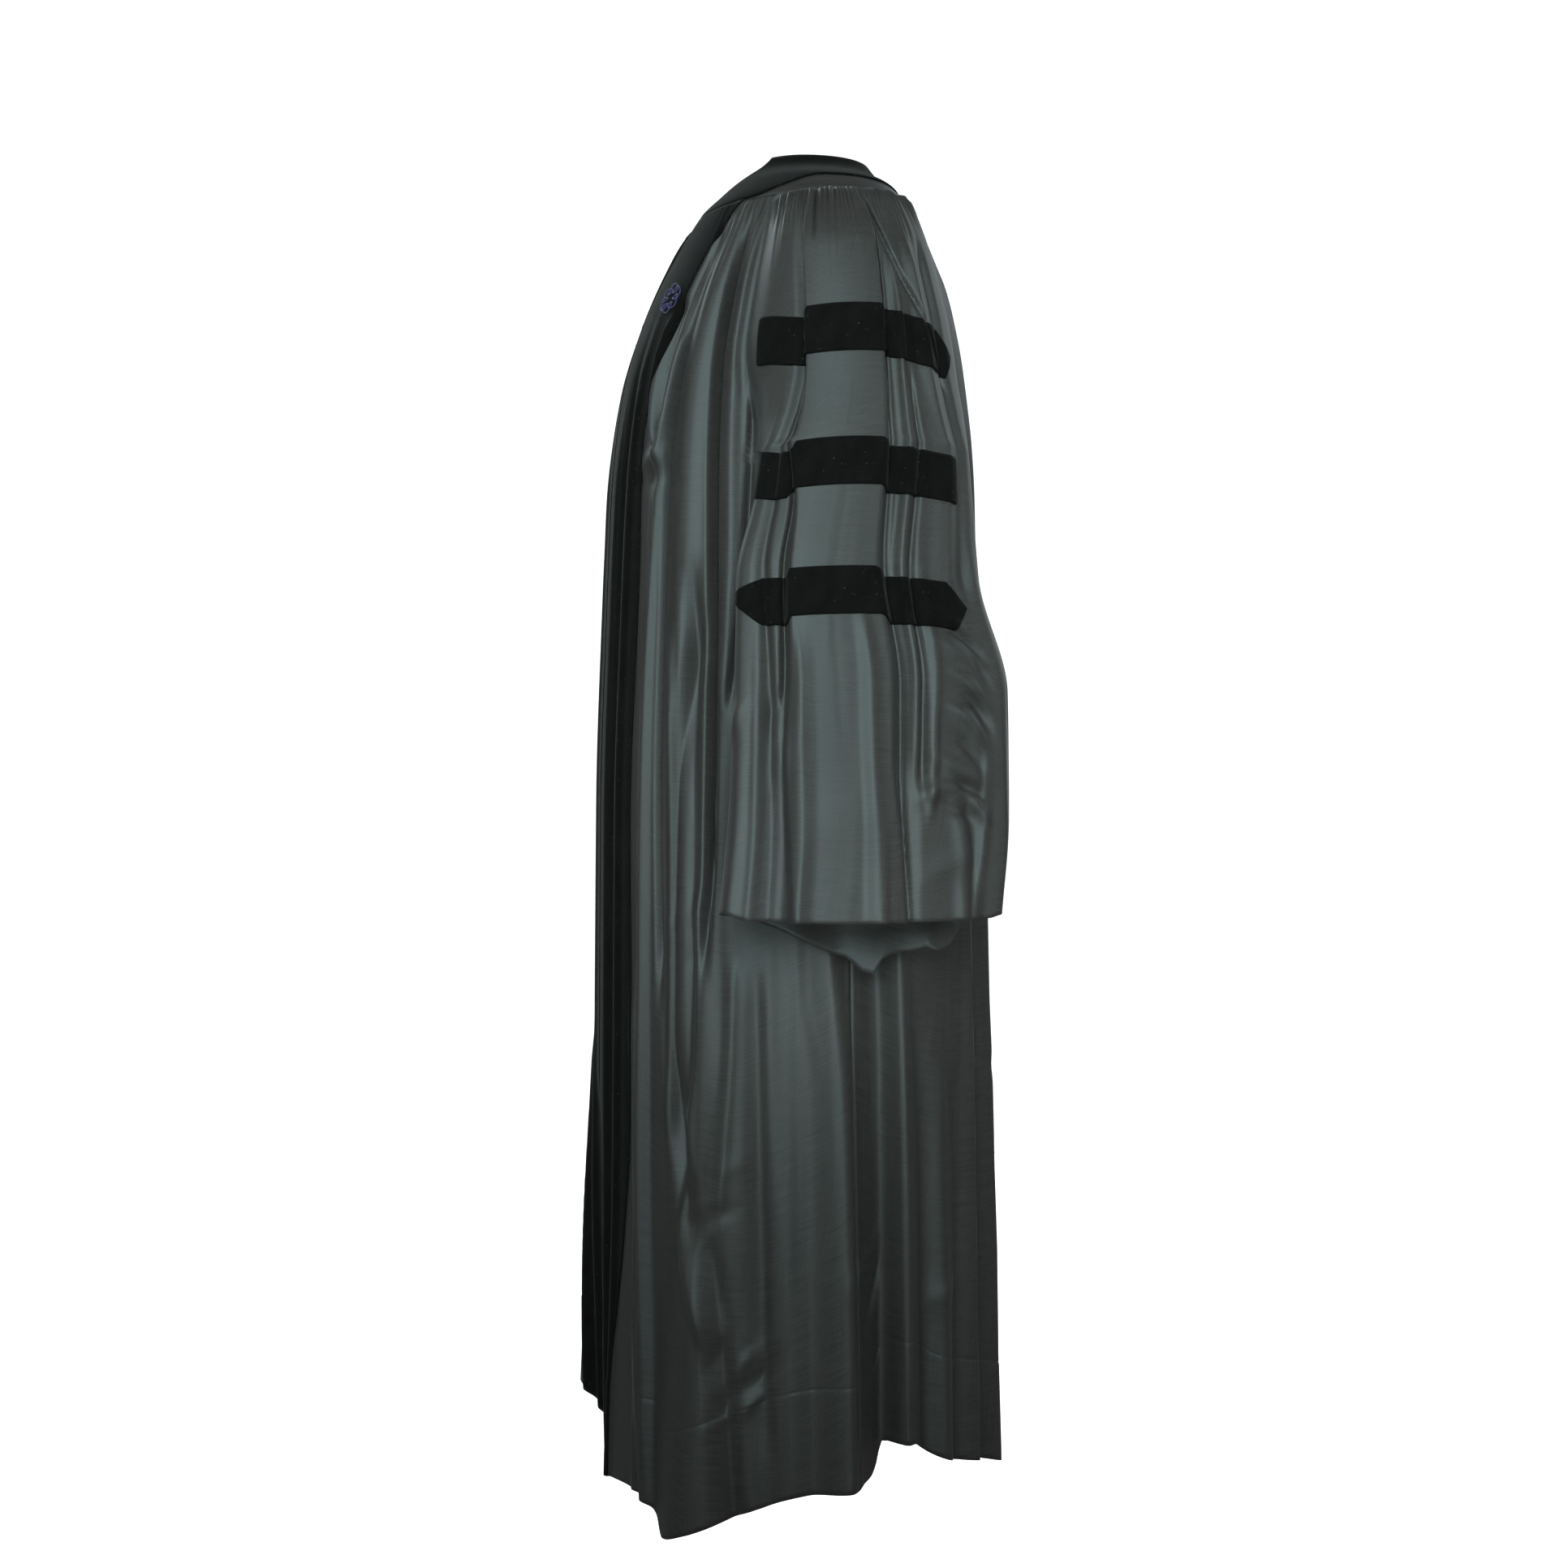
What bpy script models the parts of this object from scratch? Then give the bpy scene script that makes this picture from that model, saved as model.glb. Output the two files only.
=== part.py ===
"""Doctoral graduation gown, worn and hollow.

Metres, +Z up. The gown's front faces -Y and the wearer's left is +X. The origin lies between the
shoulders at the base of the neck, where the wearer carries the gown. Every cloth piece is a thin
wall round a middle surface: the body pieces are parts of one ring-shaped form with folds, and each
sleeve is a sheet that is gathered into its armhole and closes under the arm.
"""
import math

import bmesh
import bpy
import numpy as np

# Cloth thicknesses and the gaps between sewn pieces
TAFFETA = 0.0015
VELVET = 0.0016
CORD = 0.0022
SEAM = 0.0004
SEAM_ANGLE = math.degrees(SEAM / 2 / 0.2)     # half a seam's gap, at the body's usual half-width
YOKE_GAP = 0.0009     # measured down, where the cloth lies aslant
LAP = 0.0022          # how far a sleeve's edge stands out from the armhole that it is sewn to
ON_PANEL = (TAFFETA + VELVET) / 2 + SEAM

# Heights, all measured from the base of the neck
NECK_TOP = 0.012
YOKE_SEAM = -0.055
V_FOOT = -0.150
ARMHOLE_SHOULDER = -0.200     # above this the armhole's sides are straight
UNDERARM = -0.335
HEM = -1.410

ARMHOLE_FRONT = 61.0          # degrees round from the centre front
ARMHOLE_BACK = 123.0
ARMHOLE_FLAT = 9.0            # degrees beside an armhole over which the folds die away
ARMHOLE_EASE = 0.22           # the same below it, in metres
SLEEVE_SPREAD = 0.78          # share of the columns' turn that is even; the rest crowds the outer side
CAP_EDGE = 0.6                # place past which a sleeve bends in towards its edges
EDGE_FADE = 0.12              # width over which its folds fade beside its edges, and a fold at its ends
ROUNDNESS = 0.92              # under 1 the body's rings are a little squarer than an ellipse
SQUARENESS = 0.85             # the same for the sleeve's sections


def table(names, *rows):
    """A short table as a dict of columns."""
    return {name: np.array([row[i] for row in rows], float) for i, name in enumerate(names)}


# Half-sizes of the gown's rings, without folds
FORM = table(
    ("z", "side", "front", "back"),
    (0.020, 0.070, 0.058, 0.064),
    (0.000, 0.088, 0.074, 0.078),
    (-0.030, 0.163, 0.102, 0.097),
    (-0.055, 0.193, 0.126, 0.112),
    (-0.100, 0.202, 0.150, 0.134),
    (-0.160, 0.204, 0.176, 0.155),
    (-0.240, 0.206, 0.200, 0.168),
    (-0.340, 0.208, 0.212, 0.176),
    (-0.500, 0.212, 0.219, 0.181),
    (-0.700, 0.218, 0.225, 0.187),
    (-0.900, 0.225, 0.226, 0.192),
    (-1.150, 0.238, 0.227, 0.197),
    (-1.410, 0.250, 0.229, 0.200))

# How far the bottom edge lies above or below HEM round the gown
HEM_LINE = table(
    ("angle", "rise"),
    (-180, 0.012), (-140, 0.020), (-100, 0.050), (-60, 0.046), (-20, 0.074), (-2, 0.050),
    (2, 0.002), (23, 0.009), (34, 0.003), (38, -0.005), (42, -0.024), (50, -0.014), (57, -0.002),
    (67, 0.014), (76, 0.027), (88, 0.033), (95, 0.040), (97, 0.048), (100, 0.074), (105, 0.074),
    (110, 0.066), (118, 0.050), (140, 0.032), (152, 0.018), (180, 0.012))

# Folds of the body: the stretch each runs over, its angle at four even steps down that stretch, its
# half-width in degrees, and how far it stands out (+) or in (-), in mm, at its top and its foot
FOLD_COLUMNS = ("top", "foot", "angle_0", "angle_1", "angle_2", "angle_3", "width", "mm_top", "mm_foot")
BODY_FOLDS = table(
    FOLD_COLUMNS,
    # left front
    (-0.06, -1.16, 44, 53, 41, 50, 7, -13, -15),
    (-0.07, -1.50, 37, 43, 33, 36, 8, 7, 10),
    (-0.07, -1.30, 54, 61, 51, 60, 8, 9, 12),
    (-0.12, -0.33, 28, 28, 27, 25, 6, -8, -4),
    (-0.40, -1.50, 27, 28, 28, 20, 6, 3, 12),
    (-0.70, -1.60, 60, 56, 52, 50, 15, 2, 34),
    (-0.95, -1.60, 62, 64, 68, 70, 9, -5, -17),
    (-0.75, -1.60, 82, 85, 88, 87, 7, 4, 20),
    (-0.75, -1.60, 92, 94, 95, 95, 7, -6, -26),
    (-0.75, -1.60, 104, 103, 101, 100, 5, 4, 10),
    # left back and centre back
    (-0.90, -1.60, 112, 114, 118, 120, 10, -5, -22),
    (-0.10, -1.60, 128, 131, 131, 130, 8, 5, 9),
    (-0.08, -1.60, 141, 143, 146, 146, 7, -5, -9),
    (-0.06, -1.60, 152, 153, 156, 158, 8, 6, 17),
    (-0.06, -1.60, 166, 168, 170, 172, 7, -6, -14),
    (-0.06, -1.60, 179, 181, 183, 186, 9, 6, 15),
    # right back
    (-0.06, -1.60, -168, -166, -163, -161, 7, -6, -15),
    (-0.08, -1.60, -154, -151, -149, -147, 8, 7, 18),
    (-0.10, -1.60, -140, -137, -134, -133, 7, -5, -13),
    (-0.70, -1.60, -122, -121, -119, -120, 8, 3, 17),
    (-0.85, -1.60, -108, -106, -104, -103, 7, -4, -18),
    # right front
    (-0.75, -1.60, -92, -90, -88, -90, 7, 4, 19),
    (-0.90, -1.60, -76, -76, -75, -75, 8, -4, -20),
    (-0.70, -1.60, -58, -60, -58, -58, 12, 3, 28),
    (-0.06, -1.25, -47, -52, -44, -45, 7, -12, -14),
    (-0.07, -1.50, -39, -42, -36, -34, 8, 7, 10),
    (-0.07, -1.30, -55, -60, -54, -54, 7, 8, 10),
    (-0.95, -1.60, -12, -14, -17, -19, 11, 2, 26))

# The front opening's edge: a V from the shoulder, then straight, parting a little at the hem
OPENING = table(
    ("z", "x"),
    (0.020, 0.054), (0.000, 0.058), (-0.055, 0.050), (-0.090, 0.037), (-0.125, 0.016),
    (-0.150, 0.0020), (-0.700, 0.0020), (-1.150, 0.0022), (-1.300, 0.006), (-1.410, 0.012))

# Angle from the centre front at which the velvet facing ends
FACING_EDGE = table(
    ("z", "angle"),
    (0.012, 84), (-0.030, 52), (-0.055, 44), (-0.100, 36), (-0.150, 30), (-0.220, 24.5), (-0.300, 21),
    (-0.440, 21), (-0.610, 24), (-0.950, 24.5), (-1.120, 23), (-1.300, 19), (-1.410, 18))

# Sleeve sections: the height of the outer side, the extremes of the oval there, and how much lower
# the section runs at the front and rear (side_drop) and at the inner side (inner_drop)
SLEEVE = table(
    ("z", "outer", "inner", "front", "rear", "side_drop", "inner_drop"),
    (-0.0590, 0.230, 0.120, -0.071, 0.072, 0.0070, 0.000),
    (-0.0750, 0.248, 0.120, -0.078, 0.079, 0.0110, 0.000),
    (-0.1050, 0.262, 0.120, -0.084, 0.089, 0.0125, 0.000),
    (-0.1480, 0.274, 0.120, -0.088, 0.099, 0.0125, 0.000),
    (-0.1920, 0.283, 0.125, -0.091, 0.107, 0.0120, 0.000),
    (-0.2400, 0.292, 0.140, -0.094, 0.111, 0.0120, 0.000),
    (-0.2820, 0.299, 0.175, -0.096, 0.112, 0.0120, 0.000),
    (-0.3240, 0.306, 0.214, -0.100, 0.112, 0.0120, 0.000),
    (-0.3720, 0.314, 0.228, -0.109, 0.113, 0.0115, 0.002),
    (-0.4500, 0.326, 0.238, -0.129, 0.116, 0.0100, 0.006),
    (-0.5700, 0.341, 0.244, -0.136, 0.143, 0.0060, 0.018),
    (-0.7000, 0.352, 0.249, -0.144, 0.142, 0.0020, 0.040),
    (-0.8000, 0.360, 0.252, -0.155, 0.132, -0.0040, 0.062))

# Share of inner_drop by which the sleeve's bottom edge hangs lower (or higher) round it
CUFF_LINE = table(
    ("place", "share"),
    (-1.00, 0.73), (-0.92, 0.38), (-0.85, 0.13), (-0.77, 0.00), (-0.69, -0.08), (-0.60, -0.16),
    (-0.46, -0.17), (-0.37, 0.00), (0.37, 0.00), (0.60, -0.05), (0.77, 0.06), (0.85, 0.60),
    (0.92, 0.63), (1.00, 0.73))

# Folds of a sleeve: as the body's, with the place round it from -1 (front edge) to 1 (rear edge)
SLEEVE_FOLDS_LEFT = table(
    FOLD_COLUMNS,
    (-0.06, -0.95, -0.18, -0.13, -0.11, -0.11, 0.19, 8, 9),
    (-0.06, -0.95, -0.43, -0.34, -0.30, -0.30, 0.09, -9, -12),
    (-0.10, -0.95, 0.10, 0.08, 0.06, 0.10, 0.08, -8, -12),
    (-0.06, -0.95, -0.55, -0.47, -0.43, -0.42, 0.10, 5, 9),
    (-0.12, -0.75, 0.20, 0.20, 0.18, 0.18, 0.08, 6, 8),
    (-0.30, -0.95, 0.27, 0.26, 0.27, 0.29, 0.08, -5, -10),
    (-0.40, -0.95, 0.42, 0.40, 0.42, 0.43, 0.10, 4, 9),
    (-0.45, -0.95, 0.64, 0.63, 0.60, 0.60, 0.10, -3, -9),
    (-0.45, -0.95, 0.80, 0.79, 0.78, 0.78, 0.10, 3, 8),
    (-0.45, -0.95, -0.64, -0.63, -0.62, -0.62, 0.10, -3, -8),
    (-0.45, -0.95, -0.81, -0.80, -0.79, -0.79, 0.10, 3, 7))
SLEEVE_FOLDS_RIGHT = table(
    FOLD_COLUMNS,
    (-0.06, -0.95, -0.12, -0.10, -0.12, -0.14, 0.18, 7, 10),
    (-0.06, -0.95, -0.37, -0.34, -0.33, -0.34, 0.09, -8, -13),
    (-0.10, -0.95, 0.14, 0.12, 0.09, 0.07, 0.08, -9, -11),
    (-0.06, -0.95, -0.50, -0.46, -0.47, -0.48, 0.10, 6, 8),
    (-0.12, -0.85, 0.26, 0.24, 0.22, 0.20, 0.09, 6, 9),
    (-0.26, -0.95, 0.34, 0.33, 0.33, 0.34, 0.08, -5, -11),
    (-0.40, -0.95, 0.46, 0.47, 0.47, 0.48, 0.10, 4, 8),
    (-0.45, -0.95, 0.64, 0.64, 0.63, 0.63, 0.10, -3, -9),
    (-0.45, -0.95, 0.80, 0.80, 0.81, 0.81, 0.10, 3, 8),
    (-0.45, -0.95, -0.65, -0.65, -0.66, -0.66, 0.10, -3, -9),
    (-0.45, -0.95, -0.82, -0.81, -0.82, -0.82, 0.10, 3, 7))

# Velvet bars across a sleeve: their top and bottom, and the columns of the sleeve that they cover
BARS = ((-0.192, -0.240, 2, 21), (-0.324, -0.372, 3, 18), (-0.450, -0.500, 4, 17))
BAR_POINT = 0.62              # share of a bar's half-height that is cut off each corner of its ends
ON_SLEEVE = ON_PANEL + 0.0008

FRONT_COLUMNS = 11            # past the facing
FACING_COLUMNS = 3
BACK_COLUMNS = 26
YOKE_COLUMNS = 24
SLEEVE_COLUMNS = 26
BODY_ROWS = (YOKE_SEAM - YOKE_GAP, -0.090, V_FOOT, -0.200, -0.245, -0.290, -0.318, UNDERARM,
             -0.410, -0.520, -0.670, -0.840, -1.020, -1.190, -1.300, HEM)
YOKE_ROWS = (NECK_TOP, -0.006, -0.026, YOKE_SEAM)
NECK_BAND_FRONT = 46.0        # degrees round to which the neck's velvet reaches down to the seam
NECK_BAND_BACK = 80.0         # and from which it is only a band round the neck
NECK_BAND_FOOT = 0.15         # share of the yoke's last row that the band covers there
SLEEVE_ROWS = (-0.059, -0.075, -0.105, -0.148, -0.192, -0.240, -0.282, -0.324, -0.372, -0.411,
               -0.450, -0.500, -0.570, -0.650, -0.730, -0.800)
CLOSED_LEVEL = -0.324         # from this row down the sleeve is a closed tube

MOTIF_HEIGHT = -0.152
MOTIF_ANGLE = 22.5
MOTIF_RADIUS = 0.0135
MOTIF_LOBES = 6
MOTIF_LOBE_DEPTH = 0.22
MOTIF_POINTS = 6              # a lobe
MOTIF_SLOPE = 0.90            # the chest leans, so a round motif is this much less tall
MOTIF_STAND = ON_PANEL + VELVET / 2 + CORD / 2 + SEAM


def through(xs, ys, at):
    """A smooth curve through a table's points that never swings past them."""
    if xs[0] > xs[-1]:
        xs, ys = xs[::-1], ys[::-1]
    steps = np.diff(xs)
    slopes = np.diff(ys) / steps
    before, after = slopes[:-1], slopes[1:]
    same_way = before * after > 0
    inner = np.where(same_way, 2 * before * after / np.where(same_way, before + after, 1), 0)
    slope_at = np.concatenate([slopes[:1], inner, slopes[-1:]])
    at = np.asarray(at, float)
    i = np.clip(np.searchsorted(xs, at) - 1, 0, len(xs) - 2)
    h = xs[i + 1] - xs[i]
    t = np.clip((at - xs[i]) / h, 0, 1)
    return ((2 * t**3 - 3 * t**2 + 1) * ys[i] + (t**3 - 2 * t**2 + t) * h * slope_at[i]
            + (3 * t**2 - 2 * t**3) * ys[i + 1] + (t**3 - t**2) * h * slope_at[i + 1])


def signed_power(value, power):
    return np.sign(value) * np.abs(value) ** power


def smooth(t):
    t = np.clip(t, 0, 1)
    return t * t * (3 - 2 * t)


def fold_height(folds, place, z, wrap=None):
    """How far the folds move the cloth out, in metres, at a place round the garment and a height."""
    total = np.zeros(np.broadcast(place, z).shape)
    steps = np.arange(4.0)
    for i in range(len(folds["top"])):
        top, foot = folds["top"][i], folds["foot"][i]
        down = (top - z) / (top - foot)
        path = np.array([folds[f"angle_{k}"][i] for k in range(4)])
        off = place - through(steps, path, 3 * np.clip(down, 0, 1))
        if wrap:
            off = (off + wrap / 2) % wrap - wrap / 2
        across = np.cos(np.pi / 2 * np.clip(off / folds["width"][i], -1, 1)) ** 2
        along = smooth(down / EDGE_FADE) * smooth((1 - down) / EDGE_FADE)
        depth = folds["mm_top"][i] + (folds["mm_foot"][i] - folds["mm_top"][i]) * np.clip(down, 0, 1)
        total = total + 0.001 * depth * across * along
    return total


def form_point(angle, z):
    """A point of the body's form without folds; angle in degrees from the centre front."""
    turn = np.radians(angle)
    s, c = np.sin(turn), np.cos(turn)
    side = through(FORM["z"], FORM["side"], z)
    depth = np.where(c > 0, through(FORM["z"], FORM["front"], z), through(FORM["z"], FORM["back"], z))
    x = side * signed_power(s, ROUNDNESS)
    y = -depth * signed_power(c, ROUNDNESS)
    return np.stack([x, y, z + 0 * x], -1)


def form_out(angle, z):
    """The form's outward direction, from small steps along it."""
    step_angle, step_z = 0.5, 0.002
    round_it = form_point(angle + step_angle, z) - form_point(angle - step_angle, z)
    down_it = form_point(angle, z - step_z) - form_point(angle, z + step_z)
    out = np.cross(down_it, round_it)
    return out / np.linalg.norm(out, axis=-1, keepdims=True)


def gown_point(angle, level):
    """The body's middle surface with its folds; level is the height before the hem's rise and fall."""
    angle, level = np.broadcast_arrays(np.asarray(angle, float), np.asarray(level, float))
    turned = (angle + 180) % 360 - 180
    front_angle, back_angle = armhole(level)
    beside = np.maximum(front_angle - np.abs(turned), np.abs(turned) - back_angle)
    below = smooth((UNDERARM - level) / ARMHOLE_EASE)
    flat = np.maximum(smooth(beside / ARMHOLE_FLAT), below)
    fold = flat * fold_height(BODY_FOLDS, angle, level, 360.0)
    point = form_point(angle, level) + form_out(angle, level) * fold[..., None]
    low = smooth(level / HEM) ** 2
    point[..., 2] += low * through(HEM_LINE["angle"], HEM_LINE["rise"], turned)
    return point


def opening_angle(z):
    """Angle of the front opening's edge."""
    share = through(OPENING["z"], OPENING["x"], z) / through(FORM["z"], FORM["side"], z)
    return np.degrees(np.arcsin(share ** (1 / ROUNDNESS)))


def armhole(z):
    """The armhole's front and back angles at a height; both are 90 at the underarm and below."""
    down = np.clip((ARMHOLE_SHOULDER - z) / (ARMHOLE_SHOULDER - UNDERARM), 0, 1)
    share = np.sqrt(1 - down**2)
    return 90 - (90 - ARMHOLE_FRONT) * share, 90 + (ARMHOLE_BACK - 90) * share


def front_grid():
    """Left front: columns from the opening to the armhole and side seam."""
    rows = []
    for z in BODY_ROWS:
        trim = through(FACING_EDGE["z"], FACING_EDGE["angle"], z)
        facing = np.linspace(opening_angle(z), trim, FACING_COLUMNS + 1)
        rest = np.linspace(trim, armhole(z)[0] - SEAM_ANGLE, FRONT_COLUMNS + 1)
        rows.append(np.concatenate([facing, rest[1:]]))
    return np.array(rows)


def body_grid(angles, levels):
    return gown_point(angles, np.asarray(levels)[:, None])


def sleeve_point(place, level, folds):
    """The sleeve's middle surface on the left. place runs from -1 at the front edge of the cap and
    the underarm seam, over the outer side at 0, to 1 at the rear edge."""
    place, level = np.broadcast_arrays(np.asarray(place, float), np.asarray(level, float))
    size = {name: through(SLEEVE["z"], SLEEVE[name], level) for name in SLEEVE if name != "z"}
    edge_z = np.maximum(level - size["side_drop"], UNDERARM + SEAM)
    closed = level - size["side_drop"] <= UNDERARM + SEAM
    front_angle, back_angle = armhole(edge_z)
    edge_angle = np.where(place < 0, front_angle, back_angle)
    edge = form_point(edge_angle, edge_z) + form_out(edge_angle, edge_z) * LAP

    middle_x = (size["outer"] + size["inner"]) / 2
    half_x = (size["outer"] - size["inner"]) / 2
    middle_y = (size["front"] + size["rear"]) / 2
    half_y = (size["rear"] - size["front"]) / 2
    edge_x = signed_power((edge[..., 0] - middle_x) / half_x, 1 / SQUARENESS)
    edge_y = signed_power((edge[..., 1] - middle_y) / half_y, 1 / SQUARENESS)
    reach = np.where(closed, 180.0, np.abs(np.degrees(np.arctan2(edge_y, edge_x))))
    pull = np.where(closed, 1.0, np.hypot(edge_x, edge_y) ** SQUARENESS)

    turn = reach * (SLEEVE_SPREAD * place + (1 - SLEEVE_SPREAD) * place**3)
    near_edge = smooth((np.abs(place) - CAP_EDGE) / (1 - CAP_EDGE))
    radius = 1 + (pull - 1) * near_edge
    c, s = np.cos(np.radians(turn)), np.sin(np.radians(turn))
    x = middle_x + half_x * radius * signed_power(c, SQUARENESS)
    y = middle_y + half_y * radius * signed_power(s, SQUARENESS)
    z = (level - size["side_drop"] * smooth(np.abs(turn) / 90)
         - size["inner_drop"] * through(CUFF_LINE["place"], CUFF_LINE["share"], place))
    out = np.stack([c / half_x, s / half_y, 0 * c], -1)
    out /= np.linalg.norm(out, axis=-1, keepdims=True)
    fade = smooth((1 - np.abs(place)) / EDGE_FADE)
    fade = np.where(closed, np.maximum(fade, smooth((UNDERARM - level) / 0.1)), fade)
    return np.stack([x, y, z], -1) + out * (fade * fold_height(folds, place, level))[..., None]


def sleeve_grid(folds):
    """Rows from the yoke seam to the hem. The first row lies on the yoke's edge."""
    place = np.linspace(-1, 1, SLEEVE_COLUMNS + 1)
    head = (ARMHOLE_FRONT + ARMHOLE_BACK) / 2 + (ARMHOLE_BACK - ARMHOLE_FRONT) / 2 * place
    start = YOKE_SEAM - YOKE_GAP
    rows = [form_point(head, start + 0 * head) + form_out(head, start + 0 * head) * LAP]
    rows += [sleeve_point(place, level, folds) for level in SLEEVE_ROWS]
    return np.array(rows)


def grid_mesh(name, grid, closed_below=None, mirrored=False):
    """A mesh over a grid of points. From row closed_below down, the last column is the first one."""
    rows, columns = grid.shape[:2]
    mesh = bmesh.new()
    made = {}

    def vertex(row, column):
        if closed_below is not None and row >= closed_below and column == columns - 1:
            column = 0
        if (row, column) not in made:
            x, y, z = grid[row, column]
            made[row, column] = mesh.verts.new((-x if mirrored else x, y, z))
        return made[row, column]

    for row in range(rows - 1):
        for column in range(columns - 1):
            low = [vertex(row, column), vertex(row + 1, column), vertex(row + 1, column + 1)]
            high = [vertex(row, column), vertex(row + 1, column + 1), vertex(row, column + 1)]
            for corners in (low, high):
                mesh.faces.new(corners[::-1] if mirrored else corners)
    data = bpy.data.meshes.new(name)
    mesh.to_mesh(data)
    mesh.free()
    return data


def add_piece(name, data, thickness, material):
    """A cloth piece: its middle surface, thickened to both sides."""
    piece = bpy.data.objects.new(name, data)
    gown.objects.link(piece)
    data.materials.append(material)
    data.shade_smooth()
    wall = piece.modifiers.new("Wall", "SOLIDIFY")
    wall.thickness = thickness
    wall.offset = 0.0
    return piece


def grid_out(grid, closed_below=None):
    """Outward directions at a grid's points, averaged over the cells that meet there."""
    across = grid[:-1, 1:] - grid[1:, :-1]
    down = grid[1:, 1:] - grid[:-1, :-1]
    cell = np.cross(down, across)
    out = np.zeros_like(grid)
    for row in (0, 1):
        for column in (0, 1):
            out[row:grid.shape[0] - 1 + row, column:grid.shape[1] - 1 + column] += cell
    if closed_below is not None:
        both = out[closed_below:, 0] + out[closed_below:, -1]
        out[closed_below:, 0] = both
        out[closed_below:, -1] = both
    return out / np.linalg.norm(out, axis=-1, keepdims=True)


def add_facing(name, grid, mirrored):
    """Velvet over the first columns of a front, moved out from the front's own points."""
    out = grid_out(grid)
    strip = (grid + out * ON_PANEL)[:, :FACING_COLUMNS + 1]
    add_piece(name, grid_mesh(name, strip, mirrored=mirrored), VELVET, velvet)


def add_neck_facing(name, angles, grid):
    """Velvet round the neck, which meets the two front facings at the yoke seam."""
    band = grid + grid_out(grid) * ON_SLEEVE
    turned = np.minimum(angles[-1], 360 - angles[-1])
    share = 1 - (1 - NECK_BAND_FOOT) * smooth(
        (turned - NECK_BAND_FRONT) / (NECK_BAND_BACK - NECK_BAND_FRONT))
    band[-1] = band[-2] + (band[-1] - band[-2]) * share[:, None]
    add_piece(name, grid_mesh(name, band), VELVET, velvet)


def add_bar(name, grid, closed_below, bar, mirrored):
    """A velvet bar with pointed ends, made from the sleeve's rows between its top and bottom."""
    top, bottom, first, last = bar
    out = grid_out(grid, closed_below)
    chosen = [1 + i for i, level in enumerate(SLEEVE_ROWS) if top + 1e-6 >= level >= bottom - 1e-6]
    strip = (grid + out * ON_SLEEVE)[chosen, first:last + 1]
    middle = (strip[0] + strip[-1]) / 2
    for end in (0, -1):
        strip[0, end] += (middle[end] - strip[0, end]) * BAR_POINT
        strip[-1, end] += (middle[end] - strip[-1, end]) * BAR_POINT
    add_piece(name, grid_mesh(name, strip, mirrored=mirrored), VELVET, velvet)


def on_front(front, angle, z):
    """The point on a front's own flat faces that lies at an angle and a height."""
    levels = np.array(BODY_ROWS)
    row = int(np.searchsorted(-levels, -z)) - 1
    down = (levels[row] - z) / (levels[row] - levels[row + 1])
    angles = front_angles[row] * (1 - down) + front_angles[row + 1] * down
    column = int(np.searchsorted(angles, angle)) - 1
    across = (angle - angles[column]) / (angles[column + 1] - angles[column])
    start, end = front[row, column], front[row + 1, column + 1]
    if down >= across:
        below = front[row + 1, column]
        return start + down * (below - start) + across * (end - below)
    beside = front[row, column + 1]
    return start + across * (beside - start) + down * (end - beside)


def add_motif(name, front, mirrored):
    """A lobed ring of couched cord on the velvet of the chest, laid over the front's points."""
    curve = bpy.data.curves.new(name, "CURVE")
    curve.dimensions = "3D"
    curve.bevel_depth = CORD / 2
    curve.bevel_resolution = 0
    line = curve.splines.new("POLY")
    count = MOTIF_POINTS * MOTIF_LOBES
    line.points.add(count - 1)
    line.use_cyclic_u = True
    centre = form_point(MOTIF_ANGLE, MOTIF_HEIGHT)
    reach = math.hypot(centre[0], centre[1])
    for i in range(count):
        turn = 2 * math.pi * i / count
        radius = MOTIF_RADIUS * (1 + MOTIF_LOBE_DEPTH * math.cos(MOTIF_LOBES * turn))
        angle = MOTIF_ANGLE + math.degrees(radius * math.cos(turn) / reach)
        z = MOTIF_HEIGHT + radius * math.sin(turn) * MOTIF_SLOPE
        out = form_out(np.array(angle), np.array(z))
        x, y, z = on_front(front, angle, z) + out * MOTIF_STAND
        line.points[i].co = (-x if mirrored else x, y, z, 1.0)
    curve.materials.append(cord)
    gown.objects.link(bpy.data.objects.new(name, curve))


def material(name, colour, roughness, sheen):
    made = bpy.data.materials.new(name)
    made.use_nodes = True
    shader = made.node_tree.nodes["Principled BSDF"]
    shader.inputs["Base Color"].default_value = (*colour, 1.0)
    shader.inputs["Roughness"].default_value = roughness
    shader.inputs["Metallic"].default_value = 0.0
    shader.inputs["Sheen Weight"].default_value = sheen
    return made


for old in list(bpy.data.objects):
    bpy.data.objects.remove(old, do_unlink=True)
gown = bpy.data.collections.new("graduation_gown")
bpy.context.scene.collection.children.link(gown)
taffeta = material("black_taffeta", (0.060, 0.072, 0.075), 0.45, 0.2)
velvet = material("black_velvet", (0.008, 0.009, 0.009), 0.95, 0.6)
cord = material("blue_cord", (0.045, 0.050, 0.170), 0.60, 0.0)

front_angles = front_grid()
body_levels = np.array(BODY_ROWS)
yoke_levels = np.array(YOKE_ROWS)
closed_row = 1 + SLEEVE_ROWS.index(CLOSED_LEVEL)

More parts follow.
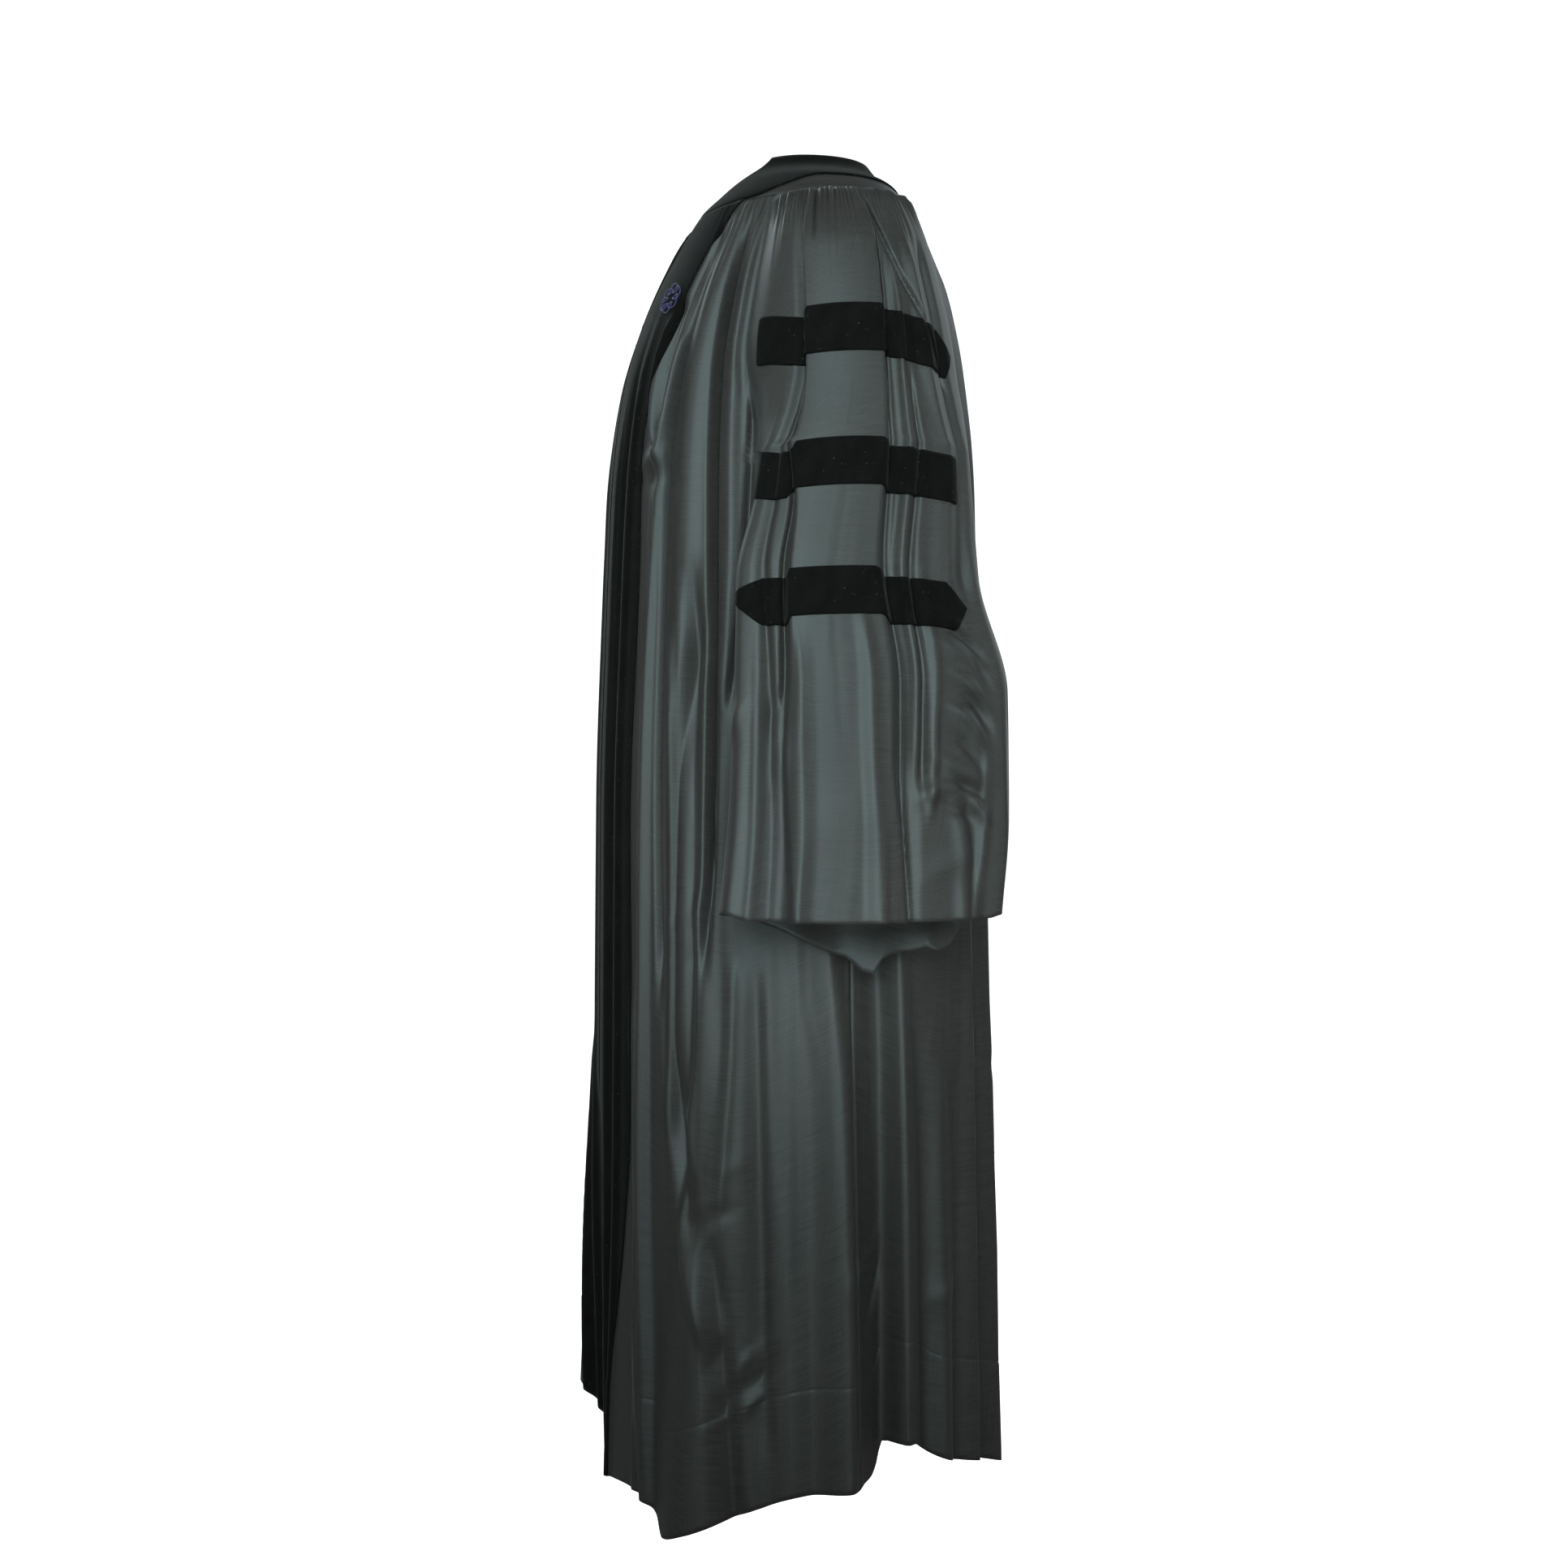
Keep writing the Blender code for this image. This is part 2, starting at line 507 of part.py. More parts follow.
for side_name, mirrored, folds in (("left", False, SLEEVE_FOLDS_LEFT), ("right", True, SLEEVE_FOLDS_RIGHT)):
    sign = -1 if mirrored else 1
    front = body_grid(sign * front_angles, body_levels)
    if mirrored:
        front[..., 0] *= -1
    add_piece(f"front_{side_name}", grid_mesh("front", front, mirrored=mirrored), TAFFETA, taffeta)
    add_facing(f"facing_{side_name}", front, mirrored)
    sleeve = sleeve_grid(folds)
    add_piece(f"sleeve_{side_name}", grid_mesh("sleeve", sleeve, closed_row, mirrored), TAFFETA, taffeta)
    for number, bar in enumerate(BARS, 1):
        add_bar(f"bar_{side_name}_{number}", sleeve, closed_row, bar, mirrored)
    add_motif(f"motif_{side_name}", front, mirrored)

back_edge = armhole(body_levels)[1] + SEAM_ANGLE
share = np.linspace(0, 1, BACK_COLUMNS + 1)
back_angles = back_edge[:, None] + share * (360 - 2 * back_edge)[:, None]
add_piece("back", grid_mesh("back", body_grid(back_angles, body_levels)), TAFFETA, taffeta)

yoke_edge = opening_angle(yoke_levels)
share = np.linspace(0, 1, YOKE_COLUMNS + 1)
yoke_angles = yoke_edge[:, None] + share * (360 - 2 * yoke_edge)[:, None]
yoke_points = body_grid(yoke_angles, yoke_levels)
add_piece("yoke", grid_mesh("yoke", yoke_points), TAFFETA, taffeta)
add_neck_facing("neck_facing", yoke_angles, yoke_points)
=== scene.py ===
"""Looks of the doctoral graduation gown: fine draped cloth, velvet trims, stitching and studio light.

Every surface here follows the CAD's own form, from the same kind of tables read at a finer pitch,
with a finer cuff line and the gathers, creases and small folds that the coarse solids leave out.
Metres, +Z up; the front faces -Y and the wearer's left is +X.
"""
import math

import bpy
import numpy as np
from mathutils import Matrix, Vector


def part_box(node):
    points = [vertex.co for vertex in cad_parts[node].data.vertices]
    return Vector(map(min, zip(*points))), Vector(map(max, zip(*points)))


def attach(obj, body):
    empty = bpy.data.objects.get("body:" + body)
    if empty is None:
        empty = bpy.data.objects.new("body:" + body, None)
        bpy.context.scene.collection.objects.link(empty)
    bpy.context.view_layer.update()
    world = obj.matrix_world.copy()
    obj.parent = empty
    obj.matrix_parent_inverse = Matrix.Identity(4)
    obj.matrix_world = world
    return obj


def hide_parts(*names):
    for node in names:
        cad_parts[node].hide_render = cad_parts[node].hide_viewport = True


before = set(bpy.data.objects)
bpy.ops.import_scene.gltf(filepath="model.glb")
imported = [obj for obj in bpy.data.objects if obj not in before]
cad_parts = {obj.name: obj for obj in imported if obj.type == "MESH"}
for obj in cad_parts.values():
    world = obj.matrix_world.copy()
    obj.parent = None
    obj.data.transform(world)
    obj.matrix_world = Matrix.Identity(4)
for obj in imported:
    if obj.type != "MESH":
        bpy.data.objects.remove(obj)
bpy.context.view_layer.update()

# Cloth thicknesses, and the cord's
TAFFETA = 0.0009
VELVET = 0.0012
CORD = 0.0016

# How far a trim's middle lies out from the middle of the cloth under it, and how pieces meet
ON_PANEL = 0.0013
ON_SLEEVE = 0.0016
LAP = 0.0022                # a sleeve's head over the armhole's edge
SEAM = 0.0004
SEAM_ANGLE = 0.01           # degrees

# The hem's stitched line
STITCH_WIDTH = 0.0016
STITCH_DEPTH = 0.0004
HEM_STEP = 0.0003

# Heights, measured from the base of the neck
NECK_TOP = 0.012
YOKE_SEAM = -0.055
YOKE_GAP = 0.0002
ARMHOLE_SHOULDER = -0.200
UNDERARM = -0.335
HEM = -1.410
HEM_DEPTH = 0.105
CUFF = -0.800
BAR_LEVELS = ((-0.189, -0.238), (-0.325, -0.373), (-0.454, -0.501))

# The armhole's widest angles, in degrees from the centre front, the angle over which folds fade out
# beside it, and the height below the underarm over which they come back
ARMHOLE_FRONT = 61.0
ARMHOLE_BACK = 123.0
ARMHOLE_FLAT = 4.5
ARMHOLE_EASE = 0.22

# Powers that square off the ovals of the body and of a sleeve
ROUNDNESS = 0.92
SQUARENESS = 0.85

# Metres that one degree round the body and one unit of place round a sleeve measure, for wrinkles
BODY_REACH = math.radians(0.22)
SLEEVE_REACH = 0.32

# Share of a fold's height over which it starts and ends
FOLD_END = 0.12


def table(names, *rows):
    """A short table as a dict of columns."""
    return {name: np.array([row[i] for row in rows], float) for i, name in enumerate(names)}


# Half the body's width, and its depth in front and behind, without folds
FORM = table(
    ("z", "side", "front", "back"),
    (0.020, 0.070, 0.058, 0.064),
    (0.000, 0.088, 0.074, 0.078),
    (-0.030, 0.163, 0.102, 0.097),
    (-0.055, 0.193, 0.126, 0.112),
    (-0.100, 0.202, 0.150, 0.134),
    (-0.160, 0.204, 0.176, 0.155),
    (-0.240, 0.206, 0.200, 0.168),
    (-0.340, 0.208, 0.212, 0.176),
    (-0.500, 0.212, 0.219, 0.181),
    (-0.700, 0.218, 0.225, 0.187),
    (-0.900, 0.225, 0.226, 0.192),
    (-1.150, 0.238, 0.227, 0.197),
    (-1.410, 0.250, 0.229, 0.200))

# How far the hem rises round the body
HEM_LINE = table(
    ("angle", "rise"),
    (-180, 0.012), (-140, 0.020), (-100, 0.050), (-60, 0.046), (-20, 0.074), (-2, 0.050),
    (2, 0.002), (23, 0.009), (34, 0.003), (38, -0.005), (42, -0.024), (50, -0.014), (57, -0.002),
    (67, 0.014), (76, 0.027), (88, 0.033), (95, 0.040), (97, 0.048), (100, 0.074), (105, 0.074),
    (110, 0.066), (118, 0.050), (140, 0.032), (152, 0.018), (180, 0.012))

# Share of a sleeve's inner_drop by which its bottom edge hangs lower (or higher) round it
CUFF_LINE = table(
    ("place", "share"),
    (-1.000, 0.73), (-0.978, 0.61), (-0.945, 0.47), (-0.927, 0.39), (-0.880, 0.20), (-0.800, 0.03),
    (-0.720, -0.01), (-0.640, -0.06), (-0.550, -0.09), (-0.460, -0.08), (-0.400, -0.02),
    (-0.370, 0.00), (0.370, 0.00), (0.420, -0.04), (0.500, -0.06), (0.600, -0.05), (0.740, 0.00),
    (0.785, 0.10), (0.805, 0.45), (0.830, 0.61), (0.853, 0.63), (0.872, 0.54), (0.890, 0.60),
    (0.935, 0.65), (0.955, 0.70), (0.966, 0.93), (0.978, 1.00), (1.000, 0.73))

# Half the gap between the fronts
OPENING = table(
    ("z", "x"),
    (0.020, 0.054), (0.000, 0.058), (-0.055, 0.050), (-0.090, 0.037), (-0.125, 0.016),
    (-0.150, 0.0020), (-0.700, 0.0020), (-1.150, 0.0022), (-1.300, 0.006), (-1.410, 0.012))

# The facing's outer edge
FACING_EDGE = table(
    ("z", "angle"),
    (0.012, 84), (-0.030, 52), (-0.055, 44), (-0.100, 35), (-0.150, 31), (-0.220, 27.5), (-0.300, 24),
    (-0.440, 25.5), (-0.700, 24), (-0.950, 25), (-1.060, 24), (-1.150, 21), (-1.300, 14), (-1.410, 12))

# A sleeve's four sides, and how much lower than its outer side it hangs at the sides and inside
SLEEVE = table(
    ("z", "outer", "inner", "front", "rear", "side_drop", "inner_drop"),
    (-0.0555, 0.206, 0.120, -0.066, 0.066, 0.0020, 0.000),
    (-0.0590, 0.230, 0.120, -0.071, 0.072, 0.0070, 0.000),
    (-0.0750, 0.248, 0.120, -0.078, 0.079, 0.0110, 0.000),
    (-0.1050, 0.262, 0.120, -0.084, 0.089, 0.0125, 0.000),
    (-0.1480, 0.274, 0.120, -0.088, 0.099, 0.0125, 0.000),
    (-0.1920, 0.283, 0.125, -0.091, 0.107, 0.0120, 0.000),
    (-0.2400, 0.292, 0.140, -0.094, 0.111, 0.0120, 0.000),
    (-0.2820, 0.299, 0.175, -0.096, 0.112, 0.0120, 0.000),
    (-0.3240, 0.306, 0.214, -0.100, 0.112, 0.0120, 0.000),
    (-0.3720, 0.314, 0.228, -0.109, 0.113, 0.0115, 0.002),
    (-0.4500, 0.326, 0.238, -0.129, 0.116, 0.0100, 0.006),
    (-0.5700, 0.341, 0.244, -0.136, 0.143, 0.0060, 0.018),
    (-0.7000, 0.352, 0.249, -0.144, 0.142, 0.0020, 0.040),
    (-0.8000, 0.360, 0.252, -0.155, 0.132, -0.0040, 0.062))

# Folds: the stretch each runs over, its place round the garment at four even steps down it, its
# half-width, how far it stands out (+) or in (-) in mm at its top and foot, how much wider its
# front side is than its rear one (lean, -1 to 1), and how sharp its crest is (0 to 1)
FOLD_COLUMNS = ("top", "foot", "at_0", "at_1", "at_2", "at_3", "width", "mm_top", "mm_foot",
                "lean", "crisp")
BODY_FOLDS = table(
    FOLD_COLUMNS,
    # left front, from the deep crease beside the sleeve towards the opening
    (-0.05, -0.88, 50, 53, 54.4, 53, 2.6, -13, -14, 0.0, 0.3),
    (-0.06, -0.80, 50.4, 53.3, 54.6, 53.4, 0.9, -6, -5, 0.0, 0.0),
    (-0.42, -1.00, 47.5, 48.5, 48.5, 47, 4.6, -8, -8, 0.2, 0.3),
    (-0.48, -1.04, 41, 41.5, 41, 40.5, 2.4, 5, 6, 0.0, 0.4),
    (-0.06, -0.62, 56.5, 58, 59.2, 57, 4.0, 6, 6, 0.0, 0.2),
    (-0.17, -0.60, 63, 64.5, 63.5, 59, 1.8, -8, -7, 0.0, 0.2),
    (-0.84, -1.12, 61.5, 61, 59.5, 58, 2.6, 3, 3, 0.3, 0.4),
    (-0.84, -1.38, 67, 67.5, 68, 69, 4.0, -4, -4, 0.2, 0.2),
    (-0.46, -1.14, 52, 43.5, 42, 51, 5.2, -6, -16, 0.0, 0.5),
    (-0.75, -1.26, 50, 52, 47, 57, 5.0, 5, 10, -0.4, 0.4),
    (-0.06, -1.02, 45.5, 44.5, 45, 43, 7.0, 7, 8, 0.0, 0.0),
    (-0.06, -0.92, 42.5, 36.8, 36, 37, 2.0, -11, -8, 0.0, 0.3),
    (-0.07, -0.88, 42.8, 37.1, 36.2, 37.2, 0.9, -3, -3, 0.0, 0.0),
    (-0.08, -1.50, 37, 31.5, 31, 35, 3.4, 5, 7, 0.2, 0.3),
    (-0.07, -0.32, 38.5, 34, 32, 29.5, 1.9, -5, -6, 0.0, 0.2),
    (-0.17, -0.325, 27, 26, 27, 31, 2.6, 4, 6, 0.0, 0.4),
    (-0.15, -0.315, 31, 30, 30, 31, 3.0, -7, -8, 0.0, 0.4),
    (-0.19, -0.335, 37, 36, 34.5, 31, 2.6, 4, 6, 0.0, 0.4),
    (-0.32, -1.50, 30, 30, 29, 26, 3.5, 3, 6, -0.3, 0.5),
    (-0.34, -1.30, 31.5, 29, 28.5, 30, 2.0, -6, -6, 0.0, 0.4),
    (-0.85, -1.60, 26, 28, 31, 40, 5.0, 3, 12, -0.3, 0.6),
    (-0.70, -1.60, 60, 56, 50, 47, 17, 2, 34, 0.0, 0.0),
    (-1.10, -1.60, 55, 58, 60, 66, 5.0, -6, -18, 0.0, 0.4),
    (-0.80, -1.60, 70, 72, 75, 74, 6.0, 2, 5, 0.0, 0.2),
    (-1.00, -1.60, 0, 0, 0, 0, 9, -2, -20, 0.0, 0.0),
    # folds along the velvet of the two fronts
    (-0.11, -1.55, 19, 17, 16, 8, 3.0, 3, 4, 0.0, 0.4),
    (-0.13, -1.55, 14, 12, 11, 5, 3.0, -4, -4, 0.0, 0.4),
    (-0.20, -1.55, 8, 7, 7, 2, 2.6, 3, 3, 0.0, 0.4),
    (-0.11, -1.55, -18, -17, -15, -10, 3.0, 3, 4, 0.0, 0.4),
    (-0.13, -1.55, -13, -12, -11, -6, 3.0, -4, -4, 0.0, 0.4),
    (-0.20, -1.55, -8, -7, -7, -3, 2.6, 3, 3, 0.0, 0.4),
    # left side and back
    (-0.75, -1.60, 83, 88, 88.5, 88, 6.5, 6, 24, 0.35, 0.3),
    (-0.72, -1.60, 96, 98.5, 99, 99, 8.0, -9, -34, 0.35, 0.1),
    (-0.75, -1.60, 104, 104, 103, 101, 4.5, 5, 14, -0.4, 0.6),
    (-0.90, -1.60, 110, 112, 112, 112, 6.0, -4, -13, 0.0, 0.2),
    (-0.95, -1.60, 119, 118, 118, 118, 4.5, 3, 9, 0.0, 0.5),
    (-0.95, -1.60, 126, 126, 125, 125, 5.0, -3, -10, 0.0, 0.2),
    (-0.30, -1.60, 136, 136, 133, 131, 5.5, 4, 10, 0.0, 0.5),
    (-0.08, -1.60, 141, 143, 142, 140, 5.0, -5, -9, 0.0, 0.3),
    (-0.06, -1.60, 150, 152, 150, 148, 6.0, 6, 14, 0.2, 0.5),
    (-0.06, -1.60, 166, 168, 170, 172, 7.0, -7, -15, 0.0, 0.3),
    (-0.06, -1.60, 179, 181, 183, 186, 8.0, 7, 15, -0.2, 0.4),
    # right back
    (-0.06, -1.60, -168, -166, -163, -161, 7.0, -7, -16, 0.0, 0.3),
    (-0.08, -1.60, -154, -151, -149, -147, 7.0, 8, 18, 0.3, 0.5),
    (-0.10, -1.60, -140, -137, -134, -133, 7.0, -5, -13, 0.0, 0.3),
    (-0.30, -1.60, -131, -129, -127, -125, 5.0, 5, 10, 0.0, 0.5),
    (-0.70, -1.60, -120, -119, -117, -117, 6.0, 3, 13, 0.3, 0.5),
    (-0.85, -1.60, -108, -106, -104, -103, 7.0, -4, -18, 0.0, 0.2),
    # right front
    (-0.75, -1.60, -92, -90, -88, -90, 6.5, 4, 19, -0.3, 0.6),
    (-0.90, -1.60, -76, -76, -75, -75, 7.0, -4, -19, 0.0, 0.2),
    (-0.70, -1.60, -58, -60, -58, -58, 12, 3, 26, 0.0, 0.2),
    (-0.06, -1.25, -47, -52, -44, -45, 6.5, -13, -13, 0.0, 0.5),
    (-0.08, -1.50, -40, -41, -36, -34, 5.0, 7, 9, 0.3, 0.5),
    (-0.07, -1.30, -54, -60, -53, -54, 6.0, 8, 9, -0.3, 0.5),
    (-0.09, -1.10, -44, -46, -40, -40, 3.0, -3, -4, 0.0, 0.3),
    (-0.30, -1.50, -31, -30, -30, -28, 3.5, 3, 6, 0.0, 0.5),
    (-0.95, -1.60, -12, -14, -17, -19, 11, 2, 26, 0.0, 0.2))

SLEEVE_FOLDS = {
    "left": table(
        FOLD_COLUMNS,
        (-0.06, -0.95, -0.53, -0.40, -0.32, -0.27, 0.060, -5, -8, 0.3, 0.3),
        (-0.05, -0.60, -0.498, -0.431, -0.274, -0.281, 0.018, -8, -6, 0.2, 0.0),
        (-0.05, -0.95, 0.072, 0.037, 0.040, 0.149, 0.014, -5, -7, 0.0, 0.0),
        (-0.05, -0.27, 0.00, 0.14, 0.32, 0.46, 0.030, -6, -6, 0.4, 0.3),
        (-0.05, -0.12, -0.38, -0.375, -0.37, -0.37, 0.024, -9, -2, 0.0, 0.2),
        (-0.48, -0.95, -0.030, -0.020, 0.010, 0.050, 0.028, 3, 7, 0.2, 0.3),
        (-0.50, -0.95, -0.27, -0.27, -0.25, -0.22, 0.050, -4, -7, 0.0, 0.1),
        (-0.50, -0.95, -0.23, -0.21, -0.19, -0.17, 0.050, 2, 6, 0.0, 0.6),
        (-0.10, -0.95, 0.09, 0.06, 0.05, 0.12, 0.045, -3, -5, 0.0, 0.2),
        (-0.12, -0.68, 0.16, 0.115, 0.080, 0.070, 0.030, 4, 6, 0.0, 0.5),
        (-0.24, -0.69, 0.18, 0.135, 0.100, 0.092, 0.020, -4, -7, 0.0, 0.2),
        (-0.40, -0.71, 0.17, 0.150, 0.130, 0.118, 0.026, 0, 5, 0.0, 0.3),
        (-0.20, -0.95, -0.56, -0.50, -0.46, -0.44, 0.090, 0, 8, 0.0, 0.3),
        (-0.45, -0.95, -0.39, -0.38, -0.37, -0.36, 0.040, 2, 2, 0.0, 0.4),
        (-0.10, -0.50, 0.32, 0.31, 0.28, 0.26, 0.080, 6, 4, 0.2, 0.5),
        (-0.10, -0.50, 0.46, 0.44, 0.38, 0.34, 0.070, -6, -5, 0.0, 0.3),
        (-0.40, -0.95, 0.42, 0.40, 0.42, 0.43, 0.100, 4, 9, 0.0, 0.4),
        (-0.62, -0.95, 0.33, 0.31, 0.30, 0.29, 0.036, 2, 4, -0.3, 0.4),
        (-0.45, -0.95, 0.64, 0.63, 0.60, 0.60, 0.100, -3, -9, 0.0, 0.1),
        (-0.45, -0.95, 0.80, 0.79, 0.78, 0.78, 0.100, 3, 8, 0.0, 0.3),
        (-0.45, -0.95, -0.64, -0.63, -0.62, -0.62, 0.100, -3, -8, 0.0, 0.1),
        (-0.45, -0.95, -0.81, -0.80, -0.79, -0.79, 0.100, 3, 7, 0.0, 0.3)),
    "right": table(
        FOLD_COLUMNS,
        (-0.06, -0.95, -0.37, -0.34, -0.33, -0.34, 0.080, -7, -11, 0.0, 0.3),
        (-0.10, -0.95, -0.24, -0.22, -0.22, -0.24, 0.060, 3, 6, 0.0, 0.6),
        (-0.10, -0.95, 0.02, 0.01, -0.01, -0.02, 0.060, 4, 5, 0.4, 0.6),
        (-0.10, -0.95, 0.14, 0.12, 0.09, 0.07, 0.050, -6, -9, 0.0, 0.2),
        (-0.06, -0.95, -0.52, -0.48, -0.47, -0.48, 0.090, 6, 8, 0.0, 0.4),
        (-0.12, -0.85, 0.24, 0.22, 0.19, 0.17, 0.050, 5, 7, 0.0, 0.6),
        (-0.26, -0.95, 0.33, 0.31, 0.30, 0.31, 0.060, -5, -9, 0.0, 0.2),
        (-0.40, -0.95, 0.46, 0.47, 0.47, 0.48, 0.100, 4, 8, 0.0, 0.4),
        (-0.45, -0.95, 0.64, 0.64, 0.63, 0.63, 0.100, -3, -9, 0.0, 0.1),
        (-0.45, -0.95, 0.80, 0.80, 0.81, 0.81, 0.100, 3, 8, 0.0, 0.3),
        (-0.45, -0.95, -0.65, -0.65, -0.66, -0.66, 0.100, -3, -9, 0.0, 0.1),
        (-0.45, -0.95, -0.82, -0.81, -0.82, -0.82, 0.100, 3, 7, 0.0, 0.3))}

# The raised panel of a sleeve: its two edges at five even steps down, and how far it stands out
PANEL_STEPS = np.linspace(-0.05, -0.82, 5)
SLEEVE_PANELS = {
    "left": (table(("front", "rear"), (-0.49, 0.06), (-0.42, 0.03), (-0.25, 0.02), (-0.27, 0.02),
                   (-0.20, 0.09)), 0.0090),
    "right": (table(("front", "rear"), (-0.42, 0.10), (-0.36, 0.07), (-0.30, 0.05), (-0.29, 0.04),
                    (-0.28, 0.03)), 0.0065)}

# Small slanting wrinkles: centre, half-length and half-width in metres, slope in degrees, depth in mm
WRINKLE_COLUMNS = ("at", "z", "long", "wide", "slope", "mm")
BODY_WRINKLES = table(
    WRINKLE_COLUMNS,
    (31, -0.322, 0.022, 0.008, 4, 5), (31, -0.345, 0.030, 0.010, -6, -3),
    (52, -1.088, 0.024, 0.006, 24, 2.5), (56, -1.104, 0.022, 0.006, 14, -3),
    (54, -1.122, 0.018, 0.005, 38, 2), (60, -1.060, 0.022, 0.008, 30, 1.5),
    (62, -1.262, 0.028, 0.006, 34, 3.5), (64, -1.283, 0.026, 0.006, 28, -3.5),
    (66, -1.300, 0.024, 0.005, 40, 3), (60, -1.305, 0.022, 0.005, 20, 2.5),
    (57, -1.240, 0.020, 0.006, 55, -4), (69, -1.275, 0.018, 0.005, 46, -3),
    (92, -1.190, 0.020, 0.008, 50, 4), (95, -1.230, 0.026, 0.006, 62, -4),
    (117, -1.240, 0.030, 0.010, 40, 3), (43, -0.800, 0.020, 0.008, 30, 1.5),
    (50, -0.790, 0.018, 0.012, -30, 1.5), (47, -0.840, 0.016, 0.008, 20, -1.5),
    (-58, -1.100, 0.026, 0.007, -28, 4), (-62, -1.122, 0.022, 0.006, -20, -4),
    (-70, -1.270, 0.026, 0.006, -35, 4), (-66, -1.290, 0.024, 0.006, -30, -4),
    (-45, -0.820, 0.022, 0.010, -24, 3), (168, -0.62, 0.040, 0.012, 18, 3),
    (-160, -0.70, 0.044, 0.012, -14, -3), (-172, -1.02, 0.040, 0.012, 22, 3),
    (150, -0.98, 0.036, 0.010, -24, -1.2), (-140, -1.10, 0.034, 0.010, 30, 3))
SLEEVE_WRINKLES = {
    "left": table(
        WRINKLE_COLUMNS,
        (0.23, -0.505, 0.026, 0.007, -30, 4), (0.27, -0.520, 0.026, 0.006, -36, -5),
        (0.25, -0.538, 0.028, 0.008, -32, 5), (0.30, -0.548, 0.024, 0.006, -44, -4),
        (0.27, -0.570, 0.026, 0.007, -38, 5), (0.29, -0.588, 0.026, 0.006, -46, -5),
        (0.23, -0.596, 0.020, 0.006, -28, 4), (0.28, -0.612, 0.024, 0.007, -44, 5),
        (0.25, -0.630, 0.024, 0.006, -40, -4), (0.22, -0.652, 0.028, 0.007, -32, 5),
        (0.25, -0.668, 0.026, 0.006, -24, -5), (0.28, -0.684, 0.022, 0.007, -40, 5),
        (0.21, -0.692, 0.024, 0.006, -20, -4), (0.235, -0.720, 0.056, 0.010, -78, 5),
        (0.270, -0.725, 0.060, 0.010, -80, -6), (0.260, -0.795, 0.036, 0.009, -82, 4),
        (0.14, -0.670, 0.026, 0.008, 24, 4), (0.18, -0.745, 0.036, 0.012, 26, 2),
        (-0.31, -0.590, 0.024, 0.010, 64, -4), (-0.28, -0.640, 0.022, 0.010, 70, 3),
        (-0.50, -0.600, 0.026, 0.010, 50, 3), (-0.08, -0.700, 0.050, 0.030, 10, 2),
        (0.92, -0.810, 0.050, 0.020, 80, -8), (0.965, -0.820, 0.045, 0.010, 84, -12),
        (0.84, -0.815, 0.040, 0.012, 82, -9), (0.80, -0.800, 0.040, 0.010, 80, 6),
        (-0.93, -0.800, 0.045, 0.016, 84, -7)),
    "right": table(
        WRINKLE_COLUMNS,
        (0.30, -0.540, 0.036, 0.011, -30, 4), (0.38, -0.580, 0.034, 0.011, -40, -5),
        (0.26, -0.630, 0.040, 0.012, -22, 4), (0.40, -0.670, 0.034, 0.012, -34, -3),
        (0.24, -0.720, 0.038, 0.013, 20, 3), (-0.46, -0.580, 0.028, 0.010, 48, 3),
        (-0.12, -0.640, 0.044, 0.026, -12, 2))}


def through(xs, ys, at):
    """A smooth curve through a table's points that never swings past them."""
    if xs[0] > xs[-1]:
        xs, ys = xs[::-1], ys[::-1]
    steps = np.diff(xs)
    slopes = np.diff(ys) / steps
    before, after = slopes[:-1], slopes[1:]
    same_way = before * after > 0
    inner = np.where(same_way, 2 * before * after / np.where(same_way, before + after, 1), 0)
    slope_at = np.concatenate([slopes[:1], inner, slopes[-1:]])
    at = np.asarray(at, float)
    i = np.clip(np.searchsorted(xs, at) - 1, 0, len(xs) - 2)
    h = xs[i + 1] - xs[i]
    t = np.clip((at - xs[i]) / h, 0, 1)
    return ((2 * t**3 - 3 * t**2 + 1) * ys[i] + (t**3 - 2 * t**2 + t) * h * slope_at[i]
            + (3 * t**2 - 2 * t**3) * ys[i + 1] + (t**3 - t**2) * h * slope_at[i + 1])


def signed_power(value, power):
    return np.sign(value) * np.abs(value) ** power


def smooth(t):
    t = np.clip(t, 0, 1)
    return t * t * (3 - 2 * t)


def crowd(place, even):
    """Places from -1 to 1 drawn closer together round 0; even is the share that stays even."""
    return even * place + (1 - even) * place**3


def unwrap(off, wrap):
    return (off + wrap / 2) % wrap - wrap / 2 if wrap else off


def fold_height(folds, place, z, wrap=None):
    """How far the folds move the cloth out, in metres, at a place round the garment and a height."""
    total = np.zeros(np.broadcast(place, z).shape)
    steps = np.arange(4.0)
    for i in range(len(folds["top"])):
        top, foot = folds["top"][i], folds["foot"][i]
        down = np.clip((top - z) / (top - foot), 0, 1)
        path = np.array([folds[f"at_{k}"][i] for k in range(4)])
        off = unwrap(place - through(steps, path, 3 * down), wrap)
        lean, crisp = folds["lean"][i], folds["crisp"][i]
        width = folds["width"][i] * np.where(off < 0, 1 + lean, 1 - lean)
        near = np.clip(np.abs(off / width), 0, 1)
        across = (1 - crisp) * np.cos(np.pi / 2 * near) ** 2 + crisp * (1 - near) ** 1.8
        along = smooth(down / FOLD_END) * smooth((1 - down) / FOLD_END)
        depth = folds["mm_top"][i] + (folds["mm_foot"][i] - folds["mm_top"][i]) * down
        total = total + 0.001 * depth * across * along
    return total


